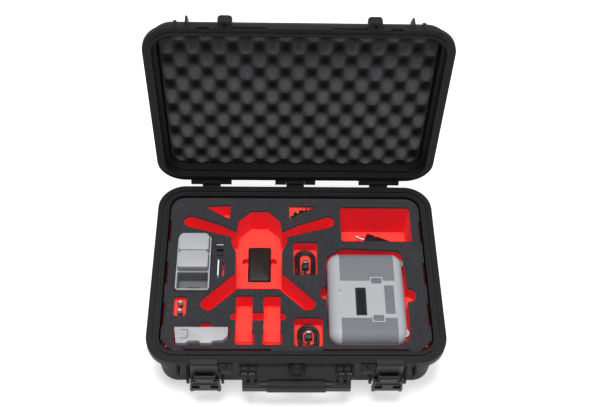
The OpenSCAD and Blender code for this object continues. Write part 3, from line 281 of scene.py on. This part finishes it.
finishes = {
    "case_plastic": moulded("caseBlack", {
        "deep": "101011", "pale": "181819", "wornAndLitTone": "3e3f41", "rough": (0.45, 0.62), "grain": 0.7, "flow": 40,
        "edge": 0.8, "wornAndLitAmount": 0.75, "bite": 0.4, "shine": 0.15}),
    "latch_plastic": moulded("latchBlack", {
        "deep": "121213", "pale": "1a1a1c", "wornAndLitTone": "444548", "rough": (0.38, 0.52), "grain": 0.5, "flow": 18,
        "edge": 0.6, "wornAndLitAmount": 0.8, "bite": 0.3, "shine": 0.22}),
    "soft_rubber": moulded("softRubber", {
        "deep": "111214", "pale": "191a1c", "wornAndLitTone": "303134", "rough": (0.55, 0.75), "grain": 0.35, "flow": 14,
        "edge": 0.4, "wornAndLitAmount": 0.4, "bite": 0.35, "shine": 0.25}),
    "black_plastic": moulded("kitBlack", {
        "deep": "0f1012", "pale": "18191c", "wornAndLitTone": "34363a", "rough": (0.35, 0.5), "grain": 0.3, "flow": 16,
        "edge": 0.5, "wornAndLitAmount": 0.5, "bite": 0.25, "shine": 0.3}),
    # the hub's grey, with painted shade below its bay mouths
    "hubGrey": moulded("hubGrey", {**paleShell, "bands": bayShade}),
    "light_plastic": moulded("paleShell", paleShell),
    "grip_rubber": moulded("gripRubber", {
        "deep": "6a6c71", "pale": "787a7f", "wornAndLitTone": "8e9094", "rough": (0.55, 0.7), "grain": 0.4, "flow": 60,
        "edge": 0.5, "wornAndLitAmount": 0.5, "bite": 0.4, "shine": 0.25, "mottle": 0.1}),
    "plate_plastic": moulded("plateGrey", {
        "deep": "606267", "pale": "6e7075", "wornAndLitTone": "909296", "rough": (0.4, 0.55), "grain": 0.25, "flow": 30,
        "edge": 0.3, "wornAndLitAmount": 0.5, "bite": 0.2, "shine": 0.4, "mottle": 0.15}),
    "screen_glass": moulded("screenCover", {
        "deep": "08090b", "pale": "0e1013", "wornAndLitTone": "1c1e22", "rough": (0.05, 0.12), "grain": 0.8, "flow": 20,
        "edge": 0.3, "wornAndLitAmount": 0.3, "bite": 0.02, "shine": 0.5, "coat": 0.6}),
    "bay_plastic": moulded("bayGrey", {
        "deep": "74767a", "pale": "808286", "wornAndLitTone": "9a9ca0", "rough": (0.35, 0.5), "grain": 0.3, "flow": 30,
        "edge": 0.3, "wornAndLitAmount": 0.4, "bite": 0.2, "shine": 0.4, "mottle": 0.2}),
    "cable_rubber": moulded("cableSheath", {
        "deep": "101012", "pale": "1a1a1d", "wornAndLitTone": "2e2e31", "rough": (0.36, 0.5), "grain": 0.3, "flow": 9,
        "edge": 0.2, "wornAndLitAmount": 0.3, "bite": 0.2, "shine": 0.45}),
    "card_plastic": moulded("cardPlastic", {
        "deep": "e0e2e8", "pale": "eef0f4", "wornAndLitTone": "ffffff", "rough": (0.25, 0.4), "grain": 0.3, "flow": 8,
        "edge": 0.15, "wornAndLitAmount": 0.3, "bite": 0.1, "shine": 0.5, "mottle": 0.2}),
    "cardPrinted": moulded("cardPrinted", {
        "deep": "c5cae2", "pale": "d9ddee", "wornAndLitTone": "ffffff", "rough": (0.25, 0.4), "grain": 0.3, "flow": 8,
        "edge": 0.15, "wornAndLitAmount": 0.3, "bite": 0.1, "shine": 0.5, "mottle": 0.2, "bands": cardPrint}),
    "bladeBlack": moulded("bladeBlack", {
        "deep": "0e0f10", "pale": "18191b", "wornAndLitTone": "2c2d30", "rough": (0.3, 0.45), "grain": 0.3, "flow": 9,
        "edge": 0.2, "wornAndLitAmount": 0.3, "bite": 0.2, "shine": 0.4, "bands": bladeBands}),
    "blockBlack": moulded("blockBlack", {
        "deep": "14110f", "pale": "1e1a17", "wornAndLitTone": "37322e", "rough": (0.42, 0.55), "grain": 0.3, "flow": 16,
        "edge": 0.5, "wornAndLitAmount": 0.5, "bite": 0.25, "shine": 0.25}),
    # the red foam's side colour and its darkening by the case wall are painted shade
    "foam_red": foamed("redFoam", {
        "deep": "f2423a", "pale": "fb5a4e", "pit": "d8282a", "cell": 0.9, "pits": 0.35, "fuzz": 0.05,
        "side": "f21c2a", "paintedWallShade": (203, 137, 3, "3a0609")}),
    # the dark foam's side colour is painted shade on its upright cut faces
    "foam_dark": foamed("darkFoam", {
        "deep": "27272b", "pale": "414145", "pit": "1b1b1e", "cell": 1.8, "pits": 0.5, "bite": 0.6,
        "fuzz": 0.1, "side": "070708"}),
    # the crate foam's hollow colour is painted shade in its pits
    "lid_foam": foamed("crateFoam", {
        "deep": "46474a", "pale": "5f6062", "pit": "303133", "cell": 2.0, "pits": 0.5, "bite": 0.8,
        "fuzz": 0.1, "hollow": "0e0e0f", "span": (0.3, 0.82)}),
    "pin_steel": turnedMetal("pinSteel", {
        "deep": "8d9094", "pale": "b4b7ba", "rough": (0.25, 0.45), "run": (0.1, 1, 1)}),
    "contact_metal": turnedMetal("contactGold", {
        "deep": "6a5a34", "pale": "8a7848", "rough": (0.2, 0.35), "run": (0.1, 1, 1)}),
    "dial_metal": turnedMetal("dialMetal", {
        "deep": "8d9094", "pale": "c0c2c5", "rough": (0.18, 0.32), "run": (1, 1, 0.1)}),
    "stick_metal": turnedMetal("stickMetal", {
        "deep": "5d5f62", "pale": "86888b", "rough": (0.35, 0.5), "run": (1, 1, 0.1)}),
    "prong_metal": turnedMetal("prongMetal", {
        "deep": "8a8c8f", "pale": "b4b6b8", "rough": (0.28, 0.42), "run": (0.1, 1, 1)}),
}
print("finishes made:", len(finishes))


# making and settling pieces, in the case's own frame

def linked(name, mesh, *materials):
    for material in materials:
        mesh.materials.append(material)
    piece = bpy.data.objects.new(name, mesh)
    scene.collection.objects.link(piece)
    return piece


def solid(name, points, faces, material, smooth=False):
    mesh = bpy.data.meshes.new(name)
    mesh.from_pydata([Vector(p) * mm for p in points], [], faces)
    mesh.update()
    if smooth:
        mesh.shade_smooth()
    return linked(name, mesh, material)


# a flat outline given its height, as one closed block
def block(name, outline, low, high, material):
    n = len(outline)
    points = [(x, y, z) for z in (low, high) for x, y in outline]
    faces = [tuple(range(n - 1, -1, -1)), tuple(range(n, 2 * n))]
    faces += [(k, (k + 1) % n, n + (k + 1) % n, n + k) for k in range(n)]
    return solid(name, points, faces, material)


# loose triangles become merged, whole flat faces
def makeWhole(shape):
    bmesh.ops.remove_doubles(shape, verts=shape.verts, dist=1e-6)
    bmesh.ops.dissolve_limit(shape, angle_limit=math.radians(0.5), verts=shape.verts, edges=shape.edges)


# one mesh from CAD nodes
def copied(name, slotName, *stands):
    shape = bmesh.new()
    for stand in stands:
        shape.from_mesh(nodes[stand].data)
    makeWhole(shape)
    for face in shape.faces:
        face.material_index = 0
    mesh = bpy.data.meshes.new(name)
    shape.to_mesh(mesh)
    shape.free()
    return linked(name, mesh, finishes[slotName])


# the modifiers' result becomes the plain mesh of the piece
def baked(piece):
    graph = bpy.context.evaluated_depsgraph_get()
    mesh = bpy.data.meshes.new_from_object(piece.evaluated_get(graph))
    piece.modifiers.clear()
    old = piece.data
    piece.data = mesh
    mesh.name = piece.name
    bpy.data.meshes.remove(old)
    return piece


def softened(piece, width, segments=2, angle=40):
    rounding = piece.modifiers.new("softEdge", "BEVEL")
    rounding.width = width * mm
    rounding.segments = segments
    rounding.limit_method = "ANGLE"
    rounding.angle_limit = math.radians(angle)
    baked(piece)
    piece.data.shade_smooth()
    piece.data.set_sharp_from_angle(angle=math.radians(angle))
    return piece


def settle(piece, body, slotName, *stands):
    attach(piece, body)
    if stands:
        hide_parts(*stands)
    return piece


# trees for what repeats: one shape on a grid, or round a circle

def newTree(name, sizes):
    tree = bpy.data.node_groups.new(name, "GeometryNodeTree")
    tree.interface.new_socket("Geometry", in_out="OUTPUT", socket_type="NodeSocketGeometry")
    keys = {}
    for label, kind in sizes.items():
        socket = tree.interface.new_socket(label, in_out="INPUT", socket_type="NodeSocket" + kind)
        keys[label] = socket.identifier
    source = tree.nodes.new("NodeGroupInput")
    return {"tree": tree, "keys": keys, "in": {label: Wire(tree, source.outputs[label]) for label in sizes}}


def endTree(made, spread):
    w = Wire(made["tree"])
    placed = w.node("GeometryNodeTransform", None, {"Geometry": spread, "Translation": made["in"]["Place"]})
    whole = w.node("GeometryNodeRealizeInstances", None, {"Geometry": placed})
    done = w.node("GeometryNodeSetMaterial", None, {"Geometry": whole, "Material": made["in"]["Material"]})
    w.node("NodeGroupOutput", None, {"Geometry": done})
    return made


def gridOf(w, sizes):
    wide, deep = (w.node("ShaderNodeSeparateXYZ", None, {"Vector": sizes["Spread"]}, k) for k in "XY")
    return w.node("GeometryNodeMeshGrid", None, {
        "Size X": wide, "Size Y": deep, "Vertices X": sizes["Across"], "Vertices Y": sizes["Along"]})


def rowTree():
    made = newTree("rowOfBars", {"Across": "Int", "Along": "Int", "Spread": "Vector", "Bar": "Vector",
                                 "Place": "Vector", "Material": "Material"})
    w, sizes = Wire(made["tree"]), made["in"]
    grid = gridOf(w, sizes)
    bar = w.node("GeometryNodeMeshCube", None, {"Size": sizes["Bar"]})
    return endTree(made, w.node("GeometryNodeInstanceOnPoints", None, {"Points": grid, "Instance": bar}))


def dotTree():
    made = newTree("fieldOfDots", {"Across": "Int", "Along": "Int", "Spread": "Vector", "Dot": "Float",
                                   "Place": "Vector", "Material": "Material"})
    w, sizes = Wire(made["tree"]), made["in"]
    grid = gridOf(w, sizes)
    dot = w.node("GeometryNodeMeshIcoSphere", None, {"Radius": sizes["Dot"], "Subdivisions": 1})
    return endTree(made, w.node("GeometryNodeInstanceOnPoints", None, {"Points": grid, "Instance": dot}))


def ringTree():
    made = newTree("ringOfTeeth", {"Count": "Int", "Radius": "Float", "Tooth": "Vector",
                                   "Place": "Vector", "Material": "Material"})
    w, sizes = Wire(made["tree"]), made["in"]
    circle = w.node("GeometryNodeMeshCircle", None, {"Vertices": sizes["Count"], "Radius": sizes["Radius"]})
    turn = w.node("GeometryNodeInputIndex") * (2 * math.pi) / sizes["Count"]
    facing = w.node("ShaderNodeCombineXYZ", None, {"Z": turn})
    tooth = w.node("GeometryNodeMeshCube", None, {"Size": sizes["Tooth"]})
    return endTree(made, w.node("GeometryNodeInstanceOnPoints", None, {
        "Points": circle, "Instance": tooth, "Rotation": facing}))


def grown(name, made, values, material):
    piece = linked(name, bpy.data.meshes.new(name))
    growth = piece.modifiers.new(name, "NODES")
    growth.node_group = made["tree"]
    for label, value in values.items():
        growth[made["keys"][label]] = value
    growth[made["keys"]["Material"]] = material
    return baked(piece)


def metres(*sizes):
    return [v * mm for v in sizes]


bars, dots, teeth = rowTree(), dotTree(), ringTree()
print("trees made for bars, dots and teeth")


# wound cables

cables = {
    "thick": 2.6, "step": 3.4, "turns": 2, "inner": 10, "rings": 72, "bend": 5.5, "mid": 4.5, "leadRings": 24,
    "floor": rim - 29.9, "plugGap": 0.2, "plugY": 2.6, "socket": 2,
    "plug": (10, 11, 5), "plugEdge": 1.1, "tip": (8, 5, 2.4), "tipEdge": 0.5, "tipSunk": 0.5,
    "ribs": 4, "ribSpread": 4.2, "ribStart": 4, "ribThick": 0.7, "ribOver": (0.4, 0.1),
    "wound": {"short": {"place": (16, 24.5), "run": 12}, "long": {"place": (19, -113.5), "run": 6.5}},
}


def cableRoute(run, place):
    c = cables
    low = c["floor"] + c["thick"] / 2
    high = low + c["step"]
    first = c["floor"] + c["plug"][2] / 2
    second = first + c["plug"][2] + c["plugGap"]
    turns = c["turns"]
    whole = 2 * turns + 0.5

    def around(u, r):
        a = (u - math.floor(u)) * 360
        side = 1 if a < 180 else -1
        part = (a % 180) / 180
        if part < 0.5:
            return side * r, side * run * (4 * part - 1)
        t = math.radians((part - 0.5) * 360)
        return side * r * math.cos(t), side * (run + r * math.sin(t))

    def reach(u):
        if u <= turns:
            return c["inner"] + c["step"] * u
        return c["inner"] + c["step"] * (turns if u <= turns + 0.5 else whole - u)

    def rise(u):
        return 0 if u <= turns else c["step"] if u >= turns + 0.5 else c["step"] * (u - turns) * 2

    def lead(side, t):
        a = math.radians(180 + 180 * t)
        return side * (c["mid"] + c["bend"] * math.cos(a)), -run + c["bend"] * math.sin(a)

    def leadEnd(side):
        return side * (c["mid"] - c["bend"]), c["plugY"] - run + c["socket"]

    steps = round(whole * c["rings"])
    ties = c["leadRings"]
    route = [(*leadEnd(1), first)]
    route += [(*lead(1, k / ties), first + (low - first) * k / ties) for k in range(ties)]
    for k in range(steps + 1):
        u = k * whole / steps
        route.append((*around(u, reach(u)), low + rise(u)))
    route.append((-c["inner"], 0, (high + second) / 2))
    route += [(*lead(-1, k / ties), second) for k in range(ties, -1, -1)]
    route.append((*leadEnd(-1), second))
    return [Vector((x + place[0], y + place[1], z)) * mm for x, y, z in route]


def boxAt(middle, size):
    (x, y, z), (w, d, h) = middle, (v / 2 for v in size)
    return [(x - w, y - d), (x + w, y - d), (x + w, y + d), (x - w, y + d)], z - h, z + h


def merged(name, pieces):
    shape = bmesh.new()
    materials = []
    for piece in pieces:
        shape.from_mesh(piece.data)
        materials = materials or list(piece.data.materials)
        bpy.data.objects.remove(piece)
    mesh = bpy.data.meshes.new(name)
    shape.to_mesh(mesh)
    shape.free()
    return linked(name, mesh, *materials)


def plugPair(name, spec, stands):
    c = cables
    bodies, tips, ribs = [], [], []
    for k, side in enumerate((-1, 1)):
        x = spec["place"][0] + side * (c["bend"] - c["mid"])
        y = spec["place"][1] + c["plugY"] - spec["run"]
        z = c["floor"] + c["plug"][2] / 2 + k * (c["plug"][2] + c["plugGap"])
        wide, length, tall = c["plug"]
        bodies.append(softened(block(name + "PlugBody", *boxAt((x, y + length / 2, z), c["plug"]),
                                     finishes["cable_rubber"]), c["plugEdge"], 3))
        tipWide, tipLong, tipTall = c["tip"]
        tipBox = boxAt((x, y + length + tipLong / 2 - c["tipSunk"], z),
                       (tipWide, tipLong + 2 * c["tipSunk"], tipTall))
        tips.append(softened(block(name + "PlugTip", *tipBox, finishes["prong_metal"]), c["tipEdge"]))
        ribs.append(grown(name + "PlugRibs", bars, {
            "Across": 1, "Along": c["ribs"], "Spread": metres(0, c["ribSpread"], 0),
            "Bar": metres(wide + c["ribOver"][0], c["ribThick"], tall + c["ribOver"][1]),
            "Place": metres(x, y + c["ribStart"], z)}, finishes["cable_rubber"]))
    body = settle(merged(name + "Plugs", bodies + ribs), "base", "cable_rubber", stands)
    tip = settle(merged(name + "PlugTips", tips), "base", "prong_metal")
    return [body, tip]


def windCable(name, stands):
    spec = cables["wound"][name]
    route = cableRoute(spec["run"], spec["place"])
    line = bpy.data.curves.new(name + "Cable", "CURVE")
    line.dimensions = "3D"
    line.bevel_depth = cables["thick"] / 2 * mm
    line.bevel_resolution = 3
    line.use_fill_caps = True
    spline = line.splines.new("POLY")
    spline.points.add(len(route) - 1)
    for point, at in zip(spline.points, route):
        point.co = (*at, 1)
    spline.use_smooth = True
    cable = linked(name + "Cable", line, finishes["cable_rubber"])
    settle(cable, "base", "cable_rubber", stands)
    length = sum((b - a).length for a, b in zip(route, route[1:]))
    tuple(route[0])
    plugPair(name, spec, stands + "_plugs")
    print(name, "cable wound,", round(length, 3), "m")


for cableName in cables["wound"]:
    windCable(cableName, "cable_" + cableName)


# foam: cut layers with knife-softened edges

foam = {"redEdge": 0.7, "darkEdge": 0.7}


def layFoam():
    lower, *upper = [copied(node, "foam_red", node) for node in ("foam_lower", "foam_middle", "foam_block")]
    lower.name = "foamBlock"
    for sheet in upper:
        lay = lower.modifiers.new("lay", "BOOLEAN")
        lay.operation = "UNION"
        lay.solver = "EXACT"
        lay.object = sheet
    baked(lower)
    for sheet in upper:
        bpy.data.objects.remove(sheet)
    shape = bmesh.new()
    shape.from_mesh(lower.data)
    makeWhole(shape)
    shape.to_mesh(lower.data)
    shape.free()
    softened(lower, foam["redEdge"])
    settle(lower, "base", "foam_red", "foam_lower", "foam_middle", "foam_block")
    pad = softened(copied("foamFloor", "foam_red", "foam_floor"), foam["redEdge"])
    settle(pad, "base", "foam_red", "foam_floor")
    cover = softened(copied("foamCover", "foam_dark", "foam_cover"), foam["darkEdge"])
    settle(cover, "base", "foam_dark", "foam_cover")
    for piece in (lower, pad, cover):
        print(piece.name, len(piece.data.polygons), "faces")


layFoam()


# egg crate pad in the open lid

crate = {
    "wide": 426, "deep": 296, "corner": 24, "columns": 44, "rows": 22, "fine": 4, "peak": rim + 14.6,
    "depth": 17.5, "back": rim + 36, "skirt": rim + 25.5, "shrink": 0.932, "hinge": (178, rim + 5),
    "open": 92.5, "edge": 1.5, "lip": 9.8, "lipShade": 0.6, "lumps": ((0.5, 16, 3), (0.22, 4, 9)),
    "thin": 0.05, "sharp": 0.85, "pitchX": 40.4, "pitchY": 53.3, "shift": 7.4, "shade": 2.5,
    "underSlope": 0.72, "underGap": 1.5,
}


def lidPlace(p):
    a = math.radians(crate["open"])
    y, z = p[1] - crate["hinge"][0], p[2] - crate["hinge"][1]
    return (p[0], crate["hinge"][0] + y * math.cos(a) + z * math.sin(a),
            crate["hinge"][1] - y * math.sin(a) + z * math.cos(a))


def eggCrate():
    c = crate
    across, along = c["columns"] * c["fine"], c["rows"] * c["fine"] * 2
    halfX, halfY = c["wide"] / 2 - c["corner"], c["deep"] / 2 - c["corner"]

    def fit(x, y):
        dx, dy = abs(x) - halfX, abs(y) - halfY
        far = math.hypot(dx, dy) if dx > 0 and dy > 0 else 0
        if far > c["corner"]:
            k = c["corner"] / far
            return math.copysign(halfX + dx * k, x), math.copysign(halfY + dy * k, y)
        return x, y

    def inside(x, y):
        dx, dy = abs(x) - halfX, abs(y) - halfY
        if dx > 0 and dy > 0:
            return c["corner"] - math.hypot(dx, dy)
        return c["corner"] - max(dx, dy)

    def hollowAt(x, y):
        wave = -math.cos(2 * math.pi * x / c["pitchX"])
        wave *= math.sin(2 * math.pi * (y - c["shift"]) / c["pitchY"])
        return ((1 - wave) / 2) ** c["sharp"]

    tops, paintedPitShades = [], []
    for i in range(across + 1):
        for j in range(along + 1):
            x, y = fit(c["wide"] * (i / across - 0.5), c["deep"] * (j / along - 0.5))
            # pits stay above the sloped underside
            under = c["skirt"] - c["peak"] + c["underSlope"] * inside(x, y) - c["underGap"]
            hollow = min(c["depth"] * hollowAt(x, y), under)
            t = min(max(inside(x, y) / c["edge"], 0), 1)
            t = t * t * (3 - 2 * t)
            lump = sum(tall * noise.noise(Vector((x, y, z)) / wide) for tall, wide, z in c["lumps"])
            rise = c["lip"] * (1 - t) + max(hollow + lump * t, c["thin"]) * t
            tops.append((x, y, c["peak"] + rise))
            # painted shade: the dark patch of each pit is moved up to lie under the peak above, as light from
            # above would leave it
            shade = hollowAt(x, y + c["shade"])  # darkest under the peak above
            paintedPitShades.append(c["lipShade"] * (1 - t) + shade * t)

    def at(i, j):
        return i * (along + 1) + j

    edge = [at(i, 0) for i in range(across)] + [at(across, j) for j in range(along)]
    edge += [at(i, along) for i in range(across, 0, -1)] + [at(0, j) for j in range(along, 0, -1)]
    count, n = len(tops), len(edge)
    lows = [(tops[k][0], tops[k][1], c["skirt"]) for k in edge]
    backs = [(x * c["shrink"], y * c["shrink"], c["back"]) for x, y, z in lows]
    faces = [(at(i, j), at(i, j + 1), at(i + 1, j + 1), at(i + 1, j))
             for i in range(across) for j in range(along)]
    for k in range(n):
        m = (k + 1) % n
        faces.append((edge[k], edge[m], count + m, count + k))
        faces.append((count + k, count + m, count + n + m, count + n + k))
        faces.append((count + n + k, count + n + m, count + 2 * n))
    points = [lidPlace(p) for p in tops + lows + backs + [(0, 0, c["back"])]]
    pad = solid("lidPad", points, faces, finishes["lid_foam"], True)
    mark = pad.data.attributes.new("paintedPitShade", "FLOAT", "POINT")
    mark.data.foreach_set("value", paintedPitShades + [1.0] * (len(points) - count))
    settle(pad, "lid", "lid_foam", "lid_foam")
    print("egg crate pad,", len(faces), "faces")


eggCrate()


# remote: rolled grips with a pale end strip as their painted highlight, dots by the buttons, vent slats and
# knurled dials

remote = {
    "middle": (112.5, -54.5), "top": rim + 13, "buttons": {"back": 24.5, "front": -44}, "buttonX": 16.5,
    "highlightWide": 1.8, "highlightProud": 0.25, "gripEdge": 1.2,
    "dots": (9, 5), "dotField": (17, 8), "dotOut": 12.5, "dotSize": 0.45,
    "buttonEdge": 0.8, "ribs": 7, "ribSpread": 11, "rib": (0.8, 6, 0.6), "ribProud": 1.2,
    "vent": (-10, -14), "slats": 9, "slatStep": 5.2, "slat": (12.6, 0.9, 1.6), "slatSunk": 1.6,
    "dialX": 56, "dialY": 64.5, "dialLow": rim - 4, "dialTall": 6.4, "dialRadius": 8,
    "teeth": 40, "tooth": (0.5, 0.6), "toothShort": 1,
}


# the last slice of a grip at its right end, a little proud, in pale plastic as a painted edge highlight
def gripHighlightStrip(side):
    piece = copied("remoteGripHighlight" + side, "light_plastic", "remote_grip_" + side.lower())
    shape = bmesh.new()
    shape.from_mesh(piece.data)
    right = max(v.co.x for v in shape.verts)
    every = shape.verts[:] + shape.edges[:] + shape.faces[:]
    cut = right - remote["highlightWide"] * mm
    bmesh.ops.bisect_plane(shape, geom=every, plane_co=(cut, 0, 0), plane_no=(-1, 0, 0), clear_outer=True)
    bmesh.ops.holes_fill(shape, edges=[e for e in shape.edges if e.is_boundary])
    bmesh.ops.recalc_face_normals(shape, faces=shape.faces)
    shape.normal_update()
    for vert in shape.verts:
        vert.co += vert.normal * remote["highlightProud"] * mm
    shape.to_mesh(piece.data)
    shape.free()
    return settle(piece, "remote", "light_plastic")


def dressRemote():
    r = remote
    x, y = r["middle"]
    for side, sign in (("Back", 1), ("Front", -1)):
        low = side.lower()
        grip = softened(copied("remoteGrip" + side, "grip_rubber", "remote_grip_" + low), r["gripEdge"], 3)
        settle(grip, "remote", "grip_rubber", "remote_grip_" + low)
        gripHighlightStrip(side)
        buttonY = y + r["buttons"][low]
        settle(grown("gripDots" + side, dots, {
            "Across": r["dots"][0], "Along": r["dots"][1], "Spread": metres(*r["dotField"], 0),
            "Dot": r["dotSize"] * mm,
            "Place": metres(x + r["buttonX"], buttonY + sign * r["dotOut"], r["top"])},
            finishes["plate_plastic"]), "remote", "plate_plastic")
        button = copied("remoteButton" + side, "plate_plastic", "remote_button_" + low)
        softened(button, r["buttonEdge"], 3)
        settle(button, "button_" + low, "plate_plastic", "remote_button_" + low)
        settle(grown("buttonRibs" + side, bars, {
            "Across": r["ribs"], "Along": 1, "Spread": metres(r["ribSpread"], 0, 0), "Bar": metres(*r["rib"]),
            "Place": metres(x + r["buttonX"], buttonY, r["top"] + r["ribProud"])}, finishes["plate_plastic"]),
            "button_" + low, "plate_plastic")
        settle(grown("dialTeeth" + side, teeth, {
            "Count": r["teeth"], "Radius": r["dialRadius"] * mm,
            "Tooth": metres(*r["tooth"], r["dialTall"] - r["toothShort"]),
            "Place": metres(x + r["dialX"], y + sign * r["dialY"], r["dialLow"] + r["dialTall"] / 2)},
            finishes["dial_metal"]), "dial_" + low, "dial_metal")
    settle(grown("ventSlats", bars, {
        "Across": 1, "Along": r["slats"], "Spread": metres(0, r["slatStep"] * (r["slats"] - 1), 0),
        "Bar": metres(*r["slat"]), "Place": metres(x + r["vent"][0], y + r["vent"][1], r["top"] - r["slatSunk"])},
        finishes["black_plastic"]), "remote", "black_plastic")
    print("remote dressed")


dressRemote()


# batteries: broad heads over the hub's bays, and the spare on its side

battery = {
    "middle": -168.5, "rows": {"middle": 12, "back": 46}, "wide": 48.8, "deep": 33.2, "cut": 5, "edge": 1.8,
    "low": rim + 0.5, "high": rim + 13.2, "spareEdge": 0.7,
}


def crownBatteries():
    b = battery
    wide, deep, cut = b["wide"] / 2, b["deep"] / 2, b["cut"]
    for row, y in b["rows"].items():
        x = b["middle"]
        outline = [(x - wide, y - deep), (x + wide, y - deep), (x + wide, y + deep - cut),
                   (x + wide - cut, y + deep), (x - wide + cut, y + deep), (x - wide, y + deep - cut)]
        name = "batteryHead" + row.capitalize()
        head = block(name, outline, b["low"], b["high"], finishes["light_plastic"])
        settle(softened(head, b["edge"], 3), "battery_" + row, "light_plastic")
    spare = softened(copied("spareBattery", "light_plastic", "spare_battery"), b["spareEdge"])
    settle(spare, "spare", "light_plastic", "spare_battery")
    print("batteries crowned")


crownBatteries()


# small kit: cards in their slits, spare blades, charger and charging block

smallKit = {
    "cardX": -126, "cards": {"Printed": (46, "cardPrinted"), "Plain": (38, "black_plastic")},
    "card": (11, 1, 17), "cardLow": rim - 15, "cardEdge": 0.2,
    "housings": {
        "chargerBody": ("charger_body", "charger", 1.5, "black_plastic"),
        "chargerHead": ("charger_head", "charger", 1.0, "black_plastic"),
        "chargingBlock": ("charging_block", "charging_block", 3.0, "blockBlack"),
    },
}


def laySmallKit():
    s = smallKit
    made = []
    for name, (y, finish) in s["cards"].items():
        corners = boxAt((s["cardX"], y, s["cardLow"] + s["card"][2] / 2), s["card"])
        made.append(softened(block("card" + name, *corners, finishes[finish]), s["cardEdge"]))
    printed, plain = made
    settle(printed, "base", "card_plastic", "memory_cards")
    settle(plain, "base", "black_plastic")
    settle(copied("spareBlades", "bladeBlack", "spare_props"), "base", "black_plastic", "spare_props")
    for name, (node, body, edge, finish) in s["housings"].items():
        settle(softened(copied(name, finish, node), edge, 3), body, "black_plastic", node)
    print("small kit laid")


laySmallKit()


# every CAD node that shows gets the finish of its slot

def dressNodes():
    for name, piece in nodes.items():
        for k, old in enumerate(piece.data.materials):
            slotName = old.name.split(".")[0] if old else ""
            if name == "hub_shell":
                slotName = "hubGrey"
            if slotName in finishes:
                piece.data.materials[k] = finishes[slotName]
            else:
                print("no finish for", name, slotName)


dressNodes()
print("CAD nodes dressed")


# floor and studio light

studio = {
    "dome": 0.34, "floor": "f4f4f4", "floorHalf": 4000, "floorLift": 0.5, "aim": (0, 0, 0.1),
    "lamps": {"keyLamp": ((-0.1, -0.1, 2.4), 1.1, 50), "fillLamp": ((1.5, -1.2, 1.9), 1.4, 5)},
}


def lamp(name, place, size, power):
    data = bpy.data.lights.new(name, "AREA")
    data.shape = "DISK"
    data.size = size
    data.energy = power
    piece = bpy.data.objects.new(name, data)
    piece.location = place
    piece.rotation_euler = (Vector(studio["aim"]) - Vector(place)).to_track_quat("-Z", "Y").to_euler()
    scene.collection.objects.link(piece)


# 1 for rays that show the background itself, as glass and metal do
def seenRays(w):
    rays = [w.node("ShaderNodeLightPath", None, None, k)
            for k in ("Is Camera Ray", "Is Glossy Ray", "Is Transmission Ray")]
    return w.sum("MINIMUM", rays[0] + rays[1] + rays[2], 1.0)


def setStudio():
    material = bpy.data.materials.new("paleFloor")
    material.use_nodes = True
    material.node_tree.nodes.clear()
    w = Wire(material.node_tree)
    paint = w.node("ShaderNodeBsdfDiffuse", None, {"Color": tint(studio["floor"])})
    glow = w.node("ShaderNodeEmission", None,
                  {"Color": (1, 1, 1, 1), "Strength": seenRays(w) * studio["floorLift"]})
    both = w.node("ShaderNodeAddShader", None, {0: paint, 1: glow})
    w.node("ShaderNodeOutputMaterial", None, {"Surface": both})
    half = studio["floorHalf"]
    corners = [(-half, -half, 0), (half, -half, 0), (half, half, 0), (-half, half, 0)]
    floor = solid("studioFloor", corners, [(0, 1, 2, 3)], material)
    world = scene.world or bpy.data.worlds.new("studio")
    scene.world = world
    world.use_nodes = True
    back = world.node_tree.nodes["Background"]
    sky = Wire(world.node_tree)
    back.inputs["Color"].default_value = (1, 1, 1, 1)
    sky.plug(back.inputs["Strength"], studio["dome"] + seenRays(sky) * (1 - studio["dome"]))
    for name, (place, size, power) in studio["lamps"].items():
        lamp(name, place, size, power)


setStudio()
print("studio set")
